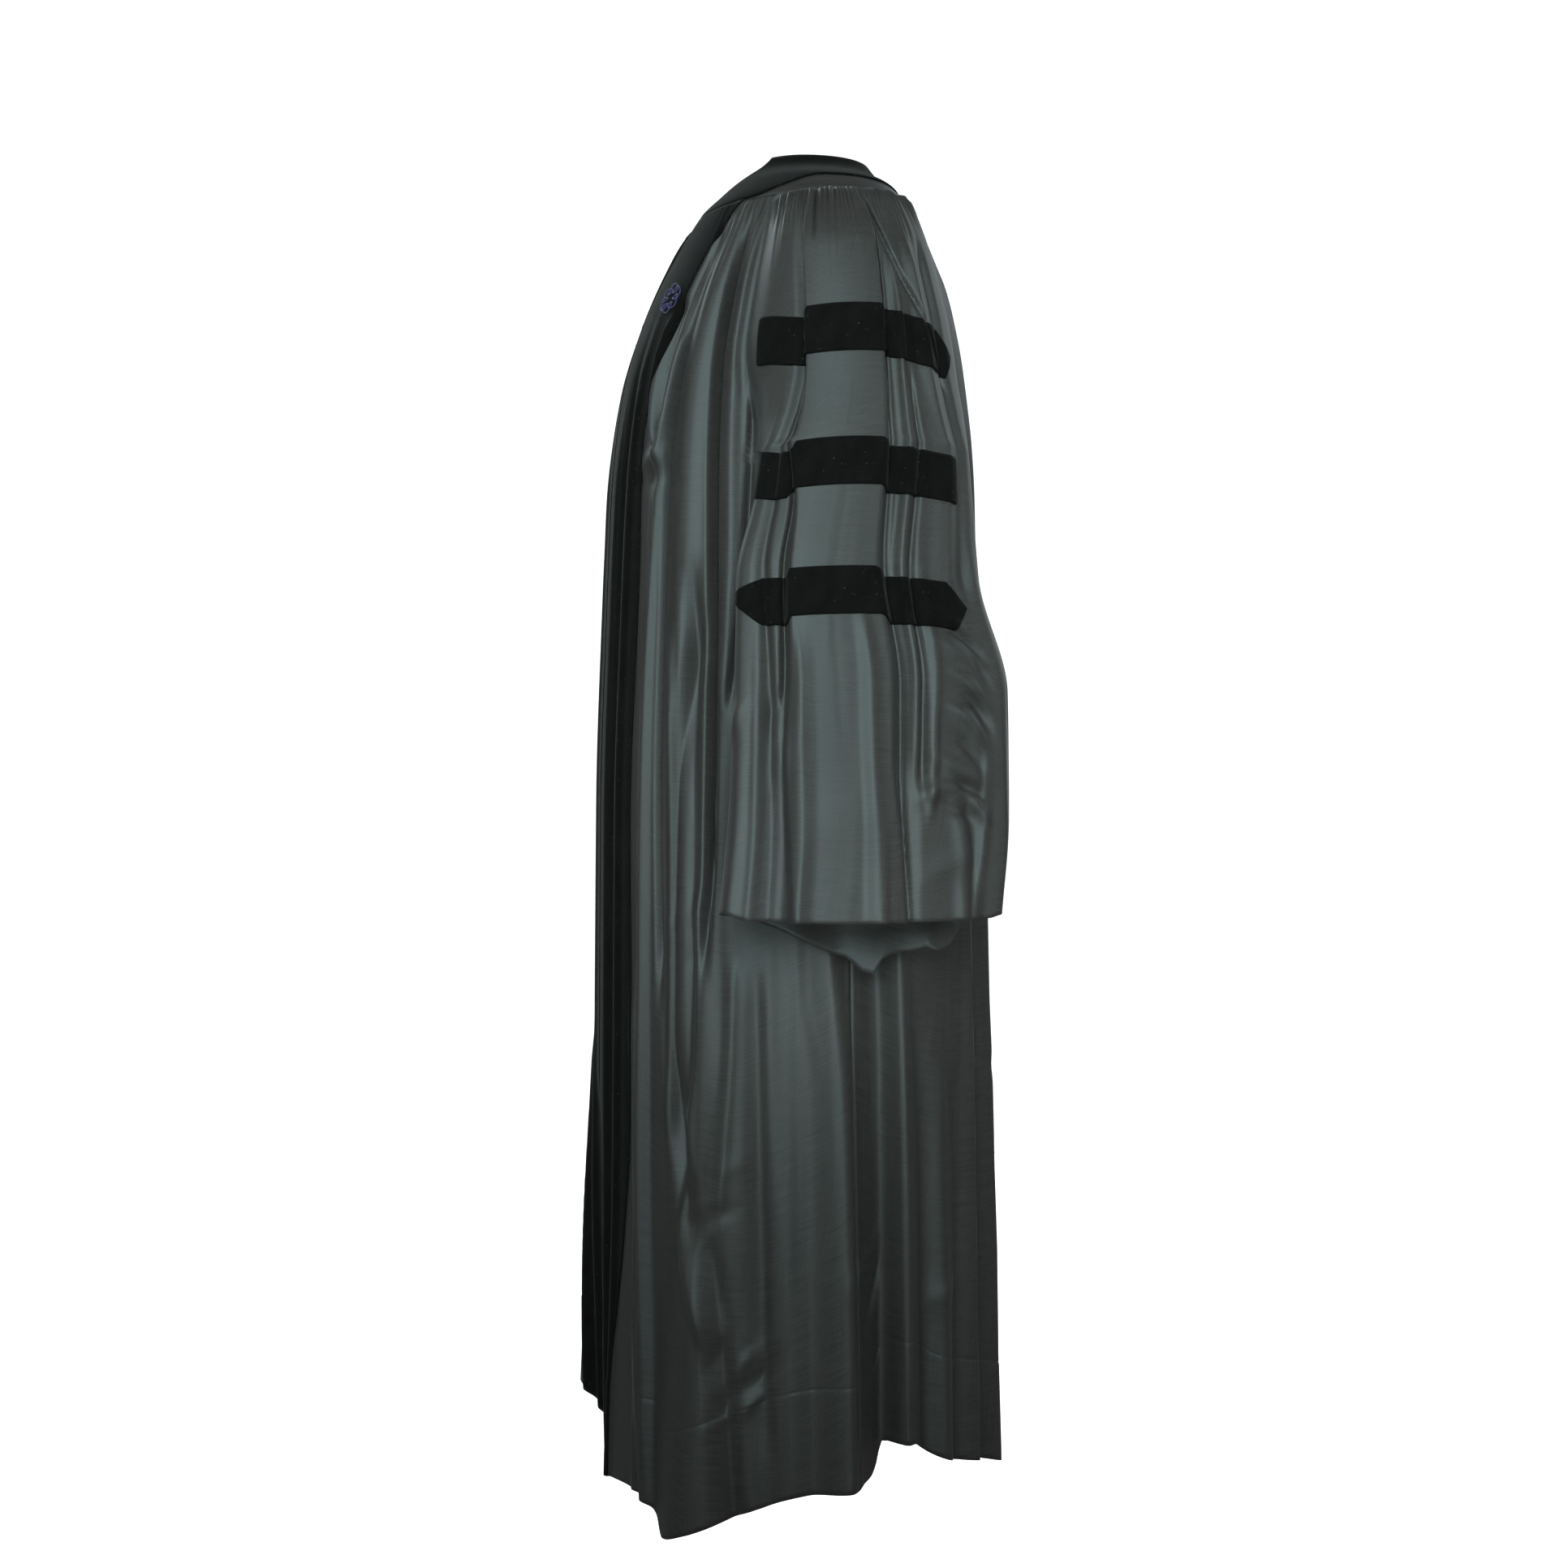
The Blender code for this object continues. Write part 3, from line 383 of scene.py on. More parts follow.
def wrinkle_height(wrinkles, place, z, reach, wrap=None):
    """Small slanting wrinkles; reach is the metres that one unit of place measures there."""
    total = np.zeros(np.broadcast(place, z).shape)
    for i in range(len(wrinkles["at"])):
        across = unwrap(place - wrinkles["at"][i], wrap) * reach
        up = z - wrinkles["z"][i]
        slope = math.radians(wrinkles["slope"][i])
        along = (across * math.cos(slope) + up * math.sin(slope)) / wrinkles["long"][i]
        aside = (up * math.cos(slope) - across * math.sin(slope)) / wrinkles["wide"][i]
        bow = aside + 0.35 * along**2
        total = total + 0.001 * wrinkles["mm"][i] * np.exp(-along**2 - bow**2)
    return total


def streaks(seed, count, span, levels, width, depth_mm):
    """A table of many faint folds, evenly spread but uneven in place, length and depth."""
    rng = np.random.default_rng(seed)
    rows = []
    for i in range(count):
        at = span[0] + (span[1] - span[0]) * (i + rng.uniform(0.1, 0.9)) / count
        top = levels[0] + rng.uniform(0, 0.45) * (levels[1] - levels[0])
        foot = top - rng.uniform(0.35, 1.0) * (top - levels[1])
        drift = rng.normal(0, 0.35 * (span[1] - span[0]) / count, 3)
        mm = rng.choice((-1, 1)) * depth_mm * rng.uniform(0.35, 1.0)
        rows.append((top, foot, at, at + drift[0], at + drift[1], at + drift[2],
                     width * rng.uniform(0.6, 1.5), mm, mm * rng.uniform(0.8, 1.8),
                     rng.uniform(-0.4, 0.4), rng.uniform(0.1, 0.6)))
    return table(FOLD_COLUMNS, *rows)


def gathers(place, below, count, depth, reach, seed):
    """Fine flutes that hang from a gathered seam and open out below it."""
    rng = np.random.default_rng(seed)
    warp = place + sum(rng.uniform(0.2, 0.6) / count * np.sin(2 * np.pi * k * place + rng.uniform(0, 6))
                       for k in (2, 3, 5, 9))
    wave = np.sin(2 * np.pi * count * warp)
    flute = signed_power(wave, 0.8)
    uneven = 0.75 + 0.25 * np.sin(2 * np.pi * (count / 3.7) * place + seed)
    return depth * uneven * flute * np.exp(-below / reach)


def form_point(angle, z):
    """A point of the body's form without folds; angle in degrees from the centre front."""
    turn = np.radians(angle)
    s, c = np.sin(turn), np.cos(turn)
    side = through(FORM["z"], FORM["side"], z)
    depth = np.where(c > 0, through(FORM["z"], FORM["front"], z), through(FORM["z"], FORM["back"], z))
    x = side * signed_power(s, ROUNDNESS)
    y = -depth * signed_power(c, ROUNDNESS)
    return np.stack([x, y, z + 0 * x], -1)


def form_out(angle, z):
    """The form's outward direction, from small steps along it."""
    step_angle, step_z = 0.5, 0.002
    round_it = form_point(angle + step_angle, z) - form_point(angle - step_angle, z)
    down_it = form_point(angle, z - step_z) - form_point(angle, z + step_z)
    out = np.cross(down_it, round_it)
    return out / np.linalg.norm(out, axis=-1, keepdims=True)


def opening_angle(z):
    """Angle of the front opening's edge."""
    share = through(OPENING["z"], OPENING["x"], z) / through(FORM["z"], FORM["side"], z)
    return np.degrees(np.arcsin(share ** (1 / ROUNDNESS)))


def armhole(z):
    """The armhole's front and back angles at a height; both are 90 at the underarm and below."""
    down = np.clip((ARMHOLE_SHOULDER - z) / (ARMHOLE_SHOULDER - UNDERARM), 0, 1)
    share = np.sqrt(1 - down**2)
    return 90 - (90 - ARMHOLE_FRONT) * share, 90 + (ARMHOLE_BACK - 90) * share


# Faint extra folds over the left half, the right half, the upper back and the sleeves
BODY_STREAKS = (streaks(11, 46, (22, 178), (-0.12, -1.45), 2.2, 0.55),
                streaks(12, 46, (-178, -22), (-0.12, -1.45), 2.2, 0.55),
                streaks(15, 16, (128, 232), (-0.08, -0.70), 2.6, 3.0))
SLEEVE_STREAKS = {
    "left": streaks(21, 34, (-0.96, 0.96), (-0.16, -0.85), 0.026, 0.30),
    "right": streaks(22, 34, (-0.96, 0.96), (-0.16, -0.85), 0.026, 0.30)}


def gown_point(angle, level):
    """The body's middle surface with its folds; level is the height before the hem's rise and fall."""
    angle, level = np.broadcast_arrays(np.asarray(angle, float), np.asarray(level, float))
    turned = (angle + 180) % 360 - 180
    front_angle, back_angle = armhole(level)
    beside = np.maximum(front_angle - np.abs(turned), np.abs(turned) - back_angle)
    below = smooth((UNDERARM - level) / ARMHOLE_EASE)
    flat = np.maximum(smooth(beside / ARMHOLE_FLAT), below)
    fold = fold_height(BODY_FOLDS, angle, level, 360.0)
    fold = fold + sum(fold_height(rows, angle, level, 360.0) for rows in BODY_STREAKS)
    fold = fold + wrinkle_height(BODY_WRINKLES, angle, level, BODY_REACH, 360.0)
    hang = YOKE_SEAM - level
    back_share = (np.abs(turned) - 90) / 90
    pleats = np.where(
        np.abs(turned) > 90, gathers(back_share * np.sign(turned) / 2, hang, 46, 0.0028, 0.075, 5),
        gathers(turned / 61, hang, 12, 0.0020, 0.050, 6) * smooth((np.abs(turned) - 28) / 12))
    fold = fold + pleats * (level < YOKE_SEAM) * smooth(hang / 0.006)
    stitch = (level - HEM - HEM_DEPTH) / STITCH_WIDTH
    fold = fold + HEM_STEP * smooth(0.5 - stitch) - STITCH_DEPTH * np.exp(-stitch**2)
    point = form_point(angle, level) + form_out(angle, level) * (flat * fold)[..., None]
    low = smooth(level / HEM) ** 2
    point[..., 2] += low * through(HEM_LINE["angle"], HEM_LINE["rise"], turned)
    return point


def sleeve_point(place, level, side):
    """The sleeve's middle surface on the left. place runs from -1 at the front edge of the cap and
    the underarm seam, over the outer side at 0, to 1 at the rear edge."""
    place, level = np.broadcast_arrays(np.asarray(place, float), np.asarray(level, float))
    size = {name: through(SLEEVE["z"], SLEEVE[name], level) for name in SLEEVE if name != "z"}
    edge_z = np.maximum(level - size["side_drop"], UNDERARM + SEAM)
    closed = level - size["side_drop"] <= UNDERARM + SEAM
    front_angle, back_angle = armhole(edge_z)
    edge_angle = np.where(place < 0, front_angle, back_angle)
    edge = form_point(edge_angle, edge_z) + form_out(edge_angle, edge_z) * LAP

    middle_x = (size["outer"] + size["inner"]) / 2
    half_x = (size["outer"] - size["inner"]) / 2
    middle_y = (size["front"] + size["rear"]) / 2
    half_y = (size["rear"] - size["front"]) / 2
    edge_x = signed_power((edge[..., 0] - middle_x) / half_x, 1 / SQUARENESS)
    edge_y = signed_power((edge[..., 1] - middle_y) / half_y, 1 / SQUARENESS)
    reach = np.where(closed, 180.0, np.abs(np.degrees(np.arctan2(edge_y, edge_x))))
    pull = np.where(closed, 1.0, np.hypot(edge_x, edge_y) ** SQUARENESS)

    turn = reach * crowd(place, 0.78)
    near_edge = smooth((np.abs(place) - 0.6) / 0.4)
    radius = 1 + (pull - 1) * near_edge
    c, s = np.cos(np.radians(turn)), np.sin(np.radians(turn))
    x = middle_x + half_x * radius * signed_power(c, SQUARENESS)
    y = middle_y + half_y * radius * signed_power(s, SQUARENESS)
    z = (level - size["side_drop"] * smooth(np.abs(turn) / 90)
         - size["inner_drop"] * through(CUFF_LINE["place"], CUFF_LINE["share"], place))
    out = np.stack([c / half_x, s / half_y, 0 * c], -1)
    out /= np.linalg.norm(out, axis=-1, keepdims=True)

    panel, proud = SLEEVE_PANELS[side]
    front_step = through(PANEL_STEPS, panel["front"], level)
    rear_step = through(PANEL_STEPS, panel["rear"], level)
    raised = smooth((place - front_step) / 0.018 + 0.5) * smooth((rear_step - place) / 0.014 + 0.5)
    fold = proud * raised * smooth((YOKE_SEAM - level - 0.01) / 0.06)
    fold = fold + fold_height(SLEEVE_FOLDS[side], place, level)
    fold = fold + fold_height(SLEEVE_STREAKS[side], place, level)
    fold = fold + wrinkle_height(SLEEVE_WRINKLES[side], place, level, SLEEVE_REACH)
    fade = smooth((1 - np.abs(place)) / 0.12)
    fade = np.where(closed, np.maximum(fade, smooth((UNDERARM - level) / 0.1)), fade)
    hang = YOKE_SEAM - level
    fine_seed, broad_seed = (8, 3) if side == "left" else (9, 4)
    fold = fade * fold + gathers(place / 2, hang, 40, 0.0062, 0.014, fine_seed)
    fold = fold + fade * gathers(place / 2, hang, 13, 0.0017, 0.032, broad_seed)
    return np.stack([x, y, z], -1) + out * fold[..., None]


def sleeve_grid(side, columns, levels):
    """Rows from the yoke seam to the hem, closest over the outer side. The first row lies on the
    yoke's edge."""
    place = crowd(np.linspace(-1, 1, columns + 1), 0.7)
    head = (ARMHOLE_FRONT + ARMHOLE_BACK) / 2 + (ARMHOLE_BACK - ARMHOLE_FRONT) / 2 * place
    start = YOKE_SEAM - YOKE_GAP + 0 * head
    seam = form_point(head, start) + form_out(head, start) * LAP
    grid = sleeve_point(place, levels[:, None], side)
    grid = np.concatenate([seam[None], grid])
    blend = smooth(np.concatenate([[0.0], (levels[0] - levels) / 0.006 + 0.25]))[:, None, None]
    return seam * (1 - blend) + grid * blend


def grid_out(grid, closed_below=None):
    """Outward directions at a grid's points, averaged over the cells that meet there."""
    across = grid[:-1, 1:] - grid[1:, :-1]
    down = grid[1:, 1:] - grid[:-1, :-1]
    cell = np.cross(down, across)
    out = np.zeros_like(grid)
    for row in (0, 1):
        for column in (0, 1):
            out[row:grid.shape[0] - 1 + row, column:grid.shape[1] - 1 + column] += cell
    if closed_below is not None:
        both = out[closed_below:, 0] + out[closed_below:, -1]
        out[closed_below:, 0] = both
        out[closed_below:, -1] = both
    return out / np.linalg.norm(out, axis=-1, keepdims=True)


def arc_lengths(grid, axis):
    steps = np.linalg.norm(np.diff(grid, axis=axis), axis=-1)
    zero = np.zeros_like(np.take(steps, [0], axis=axis))
    return np.cumsum(np.concatenate([zero, steps], axis=axis), axis=axis)


def cloth(name, grid, thickness, finish, closed_below=None, mirrored=False):
    """A thin shell over a grid of points, with UVs in metres along and down the cloth."""
    rows, columns = grid.shape[:2]
    index = np.arange(rows * columns).reshape(rows, columns)
    if closed_below is not None:
        index[closed_below:, -1] = index[closed_below:, 0]
    quads = np.stack([index[:-1, :-1], index[1:, :-1], index[1:, 1:], index[:-1, 1:]], -1).reshape(-1, 4)
    place = np.arange(rows * columns).reshape(rows, columns)
    corners = np.stack([place[:-1, :-1], place[1:, :-1], place[1:, 1:], place[:-1, 1:]], -1).reshape(-1, 4)
    points = grid.reshape(-1, 3).copy()
    if mirrored:
        points[:, 0] *= -1
        quads, corners = quads[:, ::-1], corners[:, ::-1]
    used, quads = np.unique(quads, return_inverse=True)
    quads = quads.reshape(-1, 4)
    data = bpy.data.meshes.new(name)
    data.vertices.add(len(used))
    data.vertices.foreach_set("co", points[used].astype(np.float32).ravel())
    data.loops.add(quads.size)
    data.loops.foreach_set("vertex_index", quads.astype(np.int32).ravel())
    data.polygons.add(len(quads))
    data.polygons.foreach_set("loop_start", np.arange(0, quads.size, 4, dtype=np.int32))
    data.polygons.foreach_set("use_smooth", np.ones(len(quads), bool))
    data.update(calc_edges=True)
    flat = np.stack([arc_lengths(grid, 1), arc_lengths(grid, 0)], -1).reshape(-1, 2)
    layer = data.uv_layers.new(name="cloth")
    layer.data.foreach_set("uv", flat[corners.ravel()].astype(np.float32).ravel())
    data.materials.append(finish)
    piece = bpy.data.objects.new(name, data)
    gown.objects.link(piece)
    wall = piece.modifiers.new("Wall", "SOLIDIFY")
    wall.thickness = thickness
    wall.offset = 0.0
    return piece


def nodes_of(name):
    """A new node material with its Principled shader."""
    made = bpy.data.materials.new(name)
    made.use_nodes = True
    tree = made.node_tree
    return made, tree, tree.nodes["Principled BSDF"]


def add_node(tree, kind, **values):
    node = tree.nodes.new(kind)
    for key, value in values.items():
        setattr(node, key, value)
    return node


def cloth_noise(tree, scale, detail=2.0, roughness=0.5):
    """Noise over the cloth's own UVs, stretched by scale = (across, down) per metre."""
    coords = add_node(tree, "ShaderNodeTexCoord")
    mapping = add_node(tree, "ShaderNodeMapping")
    mapping.inputs["Scale"].default_value = (scale[0], scale[1], 1.0)
    noise = add_node(tree, "ShaderNodeTexNoise")
    noise.inputs["Scale"].default_value = 1.0
    noise.inputs["Detail"].default_value = detail
    noise.inputs["Roughness"].default_value = roughness
    tree.links.new(coords.outputs["UV"], mapping.inputs["Vector"])
    tree.links.new(mapping.outputs["Vector"], noise.inputs["Vector"])
    return noise.outputs["Fac"]


def ramp(tree, source, stops):
    """Colours by a 0 to 1 value."""
    node = add_node(tree, "ShaderNodeValToRGB")
    node.color_ramp.elements[0].position, node.color_ramp.elements[0].color = stops[0]
    node.color_ramp.elements[1].position, node.color_ramp.elements[1].color = stops[-1]
    for position, colour in stops[1:-1]:
        node.color_ramp.elements.new(position).color = colour
    tree.links.new(source, node.inputs["Fac"])
    return node.outputs["Color"]


def mix_colours(tree, kind, first, second):
    node = add_node(tree, "ShaderNodeMix", data_type="RGBA", blend_type=kind)
    node.inputs[0].default_value = 1.0
    tree.links.new(first, node.inputs[6])
    tree.links.new(second, node.inputs[7])
    return node.outputs[2]


def bump(tree, shader, height, strength, distance):
    node = add_node(tree, "ShaderNodeBump")
    node.inputs["Strength"].default_value = strength
    node.inputs["Distance"].default_value = distance
    tree.links.new(height, node.inputs["Height"])
    tree.links.new(node.outputs["Normal"], shader.inputs["Normal"])


def ramp_values(tree, source, low, high, start=0.3, end=0.7):
    node = add_node(tree, "ShaderNodeMapRange")
    node.inputs["From Min"].default_value = start
    node.inputs["From Max"].default_value = end
    node.inputs["To Min"].default_value = low
    node.inputs["To Max"].default_value = high
    tree.links.new(source, node.inputs["Value"])
    return node.outputs["Result"]


def add_values(tree, first, second, share=0.5):
    node = add_node(tree, "ShaderNodeMix", data_type="FLOAT")
    node.inputs[0].default_value = share
    tree.links.new(first, node.inputs[2])
    tree.links.new(second, node.inputs[3])
    return node.outputs[0]


def taffeta_material():
    """Ribbed taffeta: crosswise slubs, faint lengthwise threads and a cool gloss on a warm black."""
    made, tree, shader = nodes_of("black_taffeta")
    slubs = cloth_noise(tree, (28, 1100), 3.0, 0.6)
    ribs = cloth_noise(tree, (9, 2300), 1.0)
    threads = cloth_noise(tree, (1300, 12), 2.0)
    patches = cloth_noise(tree, (9, 5), 3.0)
    weave = add_values(tree, slubs, threads, 0.3)
    fine = ramp(tree, weave, ((0.35, (0.0220, 0.0207, 0.0194, 1)), (0.65, (0.0560, 0.0540, 0.0515, 1))))
    broad = ramp(tree, patches, ((0.30, (0.86, 0.86, 0.88, 1)), (0.70, (1.0, 0.99, 0.96, 1))))
    colour = mix_colours(tree, "MULTIPLY", fine, broad)
    tree.links.new(colour, shader.inputs["Base Color"])
    tree.links.new(ramp_values(tree, weave, 0.46, 0.60), shader.inputs["Roughness"])
    bump(tree, shader, add_values(tree, weave, ribs, 0.4), 0.35, 0.0004)
    shader.inputs["Specular IOR Level"].default_value = 0.60
    shader.inputs["Specular Tint"].default_value = (0.76, 0.96, 0.98, 1.0)
    shader.inputs["Sheen Weight"].default_value = 0.06
    shader.inputs["Sheen Roughness"].default_value = 0.35
    shader.inputs["Sheen Tint"].default_value = (0.72, 0.92, 1.0, 1.0)
    return made


def velvet_material():
    """Short-pile velvet: almost no gloss, a soft nap and a few pale specks of lint."""
    made, tree, shader = nodes_of("black_velvet")
    nap = cloth_noise(tree, (60, 26), 4.0, 0.6)
    pile = cloth_noise(tree, (2600, 2600), 1.0)
    lint = cloth_noise(tree, (330, 330), 0.0)
    base = ramp(tree, nap, ((0.30, (0.0030, 0.0035, 0.0033, 1)), (0.72, (0.0080, 0.0090, 0.0085, 1))))
    specks = ramp(tree, lint, ((0.80, (0.0, 0.0, 0.0, 1)), (0.83, (0.03, 0.032, 0.03, 1))))
    tree.links.new(mix_colours(tree, "ADD", base, specks), shader.inputs["Base Color"])
    tree.links.new(ramp_values(tree, nap, 0.85, 1.0), shader.inputs["Roughness"])
    bump(tree, shader, add_values(tree, pile, nap, 0.35), 0.6, 0.0006)
    shader.inputs["Specular IOR Level"].default_value = 0.10
    shader.inputs["Sheen Weight"].default_value = 0.085
    shader.inputs["Sheen Roughness"].default_value = 0.30
    shader.inputs["Sheen Tint"].default_value = (0.80, 0.90, 0.88, 1.0)
    return made


def cord_material():
    """Twisted blue couching cord, with painted shade in the twist's grooves and a painted highlight on its
    crests.
    """
    made, tree, shader = nodes_of("blue_cord")
    coords = add_node(tree, "ShaderNodeTexCoord")
    twist = add_node(tree, "ShaderNodeTexWave", wave_type="BANDS", bands_direction="DIAGONAL")
    twist.inputs["Scale"].default_value = 420.0
    twist.inputs["Distortion"].default_value = 1.5
    tree.links.new(coords.outputs["Object"], twist.inputs["Vector"])
    # The twist's bands colour the cord as well as raise it: darker in the grooves and lighter on the crests,
    # which is painted shade and painted highlight.
    colour = ramp(tree, twist.outputs["Fac"], ((0.2, (0.016, 0.018, 0.075, 1)),
                                               (0.8, (0.060, 0.066, 0.240, 1))))
    tree.links.new(colour, shader.inputs["Base Color"])
    tree.links.new(ramp_values(tree, twist.outputs["Fac"], 0.75, 0.5), shader.inputs["Roughness"])
    bump(tree, shader, twist.outputs["Fac"], 0.6, 0.0004)
    shader.inputs["Sheen Weight"].default_value = 0.2
    return made


def studio_material(name, low, high):
    made, tree, shader = nodes_of(name)
    noise = add_node(tree, "ShaderNodeTexNoise")
    noise.inputs["Scale"].default_value = 3.0
    tree.links.new(ramp(tree, noise.outputs["Fac"], ((0.3, low), (0.7, high))), shader.inputs["Base Color"])
    tree.links.new(ramp_values(tree, noise.outputs["Fac"], 0.85, 0.95), shader.inputs["Roughness"])
    return made


gown = bpy.data.collections.new("graduation_gown")
bpy.context.scene.collection.children.link(gown)
taffeta = taffeta_material()
velvet = velvet_material()
blue_cord = cord_material()


def finish_piece(piece, slot, *nodes):
    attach(piece, "root")
    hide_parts(*nodes)


# Columns of a front over its facing, then to beside the sleeve, then to the seam; of the back beside
# a sleeve and between the sleeves; and the angles from the centre front that part them
FRONT_SIZE = (30, 90, 44)
BACK_SIZE = (34, 128)
FRONT_PART = 59.0
BACK_PART = 126.0
SLEEVE_COLUMNS = 220
# Rows lie this far apart below the gathers
ROW_PITCH = 0.0068
GATHERS_FOOT = -0.16
# Rows and columns of the neck band, its foot's height in front and behind, the angle at which the
# foot starts to rise and the angle over which it does
BAND_SIZE = (22, 150)
BAND_FOOT = (-0.055, -0.0305)
BAND_RISE = (46, 34)


def runs(*parts):
    """Heights in even runs, each (from, to, count); a height that two runs share comes once."""
    heights = np.concatenate([np.linspace(*part) for part in parts])
    return heights[np.append(True, np.diff(heights) != 0)]


def body_levels():
    stitched = HEM + HEM_DEPTH + 0.001 * np.array([4.0, 2.0, 1.0, 0.0, -1.0, -2.0, -4.0])
    plain_rows = int((GATHERS_FOOT - stitched[0]) / ROW_PITCH)
    high = runs((YOKE_SEAM - YOKE_GAP, GATHERS_FOOT, 32), (GATHERS_FOOT, stitched[0], plain_rows))
    hem = np.linspace(stitched[-1], HEM, 18)
    return np.concatenate([high, stitched[1:], hem[1:]])


def span(start, end, count):
    """Even steps from start to end, either of which may differ from row to row."""
    start, end = np.broadcast_arrays(np.asarray(start, float), np.asarray(end, float))
    return start[..., None] + np.linspace(0, 1, count + 1) * (end - start)[..., None]


def make_front(side):
    sign = 1 if side == "left" else -1
    levels = body_levels()
    edge = opening_angle(levels)
    velvet_edge = through(FACING_EDGE["z"], FACING_EDGE["angle"], levels)
    seam = armhole(levels)[0] - SEAM_ANGLE
    inner = span(edge, velvet_edge, FRONT_SIZE[0])
    angles = np.concatenate([inner, span(velvet_edge, FRONT_PART, FRONT_SIZE[1])[:, 1:],
                             span(FRONT_PART, seam, FRONT_SIZE[2])[:, 1:]], 1)
    grid = gown_point(sign * angles, levels[:, None])
    grid[..., 0] *= sign
    mirrored = side == "right"
    front = cloth(f"front_{side}_cloth", grid, TAFFETA, taffeta, mirrored=mirrored)
    finish_piece(front, "taffeta", f"front_{side}")
    strip = (grid + grid_out(grid) * ON_PANEL)[:, :FRONT_SIZE[0] + 1]
    facing = cloth(f"facing_{side}_cloth", strip, VELVET, velvet, mirrored=mirrored)
    finish_piece(facing, "velvet", f"facing_{side}")


def make_back():
    levels = body_levels()
    seam = armhole(levels)[1] + SEAM_ANGLE
    middle = span(BACK_PART + 0 * seam, 360 - BACK_PART, BACK_SIZE[1])
    angles = np.concatenate([span(seam, BACK_PART, BACK_SIZE[0]), middle[:, 1:],
                             span(360 - BACK_PART, 360 - seam, BACK_SIZE[0])[:, 1:]], 1)
    grid = gown_point(angles, levels[:, None])
    back = cloth("back_cloth", grid, TAFFETA, taffeta)
    finish_piece(back, "taffeta", "back")


def make_yoke():
    levels = runs((NECK_TOP, -0.026, 14), (-0.026, YOKE_SEAM, 14))
    edge = opening_angle(levels)
    share = np.linspace(0, 1, BAND_SIZE[1])
    angles = edge[:, None] + share * (360 - 2 * edge)[:, None]
    grid = gown_point(angles, levels[:, None])
    yoke = cloth("yoke_cloth", grid, TAFFETA, taffeta)
    finish_piece(yoke, "taffeta", "yoke")
    turned = np.minimum(angles[-1], 360 - angles[-1])
    risen = smooth((turned - BAND_RISE[0]) / BAND_RISE[1])
    foot = BAND_FOOT[0] + (BAND_FOOT[1] - BAND_FOOT[0]) * risen
    band_levels = NECK_TOP + np.linspace(0, 1, BAND_SIZE[0])[:, None] * (foot - NECK_TOP)
    band_edge = opening_angle(band_levels)
    band_angles = band_edge + share * (360 - 2 * band_edge)
    band = gown_point(band_angles, band_levels)
    band = band + grid_out(band) * ON_SLEEVE
    neck = cloth("neck_facing_cloth", band, VELVET, velvet)
    finish_piece(neck, "velvet", "neck_facing")


# A bar's place on the sleeve, the length of the point at each end (0 for a square end), how far the
# bar steps down past the panel's rear edge, and how far it then slopes down to its end
BARS = table(
    ("first", "last", "front_point", "rear_point", "step", "slope"),
    (-0.83, 0.54, 0, 0.021, 0.003, 0.012),
    (-0.72, 0.33, 0, 0, 0.007, 0.005),
    (-0.58, 0.325, 0.060, 0.024, 0.009, 0.003))
BAR_SIZE = (17, 150)
BAR_REACH = 0.30            # metres that one unit of place measures there
FRONT_STEP = 0.008          # a bar steps down before the panel's front edge
FRONT_RISE = 0.012          # and rises again towards its front end
POINT_TIP = 0.03            # share of the half-width left at a point's tip
SQUARE_END = (0.90, 0.004)  # the same at a square end, and the length that it rounds over


def bar_grid(side, row):
    """A velvet bar's points on the sleeve: it steps down where the raised panel ends."""
    first, last = BARS["first"][row], BARS["last"][row]
    place = np.linspace(first, last, BAR_SIZE[1])
    top, bottom = BAR_LEVELS[row]
    middle_level = (top + bottom) / 2
    panel = SLEEVE_PANELS[side][0]
    front_step = through(PANEL_STEPS, panel["front"], middle_level)
    rear_step = through(PANEL_STEPS, panel["rear"], middle_level)
    drop = (FRONT_STEP * smooth((front_step - place) / 0.02 + 0.5)
            - FRONT_RISE * smooth((front_step - place) / 0.40)
            + BARS["step"][row] * smooth((place - rear_step) / 0.03 + 0.5)
            + BARS["slope"][row] * np.clip((place - rear_step) / (0.5 - rear_step), 0, 1))
    half = (top - bottom) / 2
    reach = np.full_like(place, half)
    for from_end, point in (((place - first) * BAR_REACH, BARS["front_point"][row]),
                            ((last - place) * BAR_REACH, BARS["rear_point"][row])):
        tip, length = (POINT_TIP, point) if point else SQUARE_END
        reach = np.minimum(reach, half * (tip + (1 - tip) * np.clip(from_end / length, 0, 1)))
    across = np.linspace(1, -1, BAR_SIZE[0])[:, None]
    grid = sleeve_point(place, middle_level - drop + across * reach, side)
    return grid + grid_out(grid) * ON_SLEEVE


def make_sleeve(side):
    mirrored = side == "right"
    levels = runs((-0.0556, -0.060, 6), (-0.060, -0.110, 22), (-0.110, UNDERARM + 0.012, 46),
                  (UNDERARM + 0.0115, -0.490, 32), (-0.490, -0.735, 68), (-0.735, CUFF, 14))
    grid = sleeve_grid(side, SLEEVE_COLUMNS, levels)
    drops = through(SLEEVE["z"], SLEEVE["side_drop"], levels)
    closed_row = 1 + int(np.argmax(levels - drops <= UNDERARM + SEAM))
    sleeve = cloth(f"sleeve_{side}_cloth", grid, TAFFETA, taffeta, closed_row, mirrored)
    finish_piece(sleeve, "taffeta", f"sleeve_{side}")
    for row in range(len(BAR_LEVELS)):
        node = f"bar_{side}_{row + 1}"
        bar = cloth(f"{node}_cloth", bar_grid(side, row), VELVET, velvet, mirrored=mirrored)
        finish_piece(bar, "velvet", node)


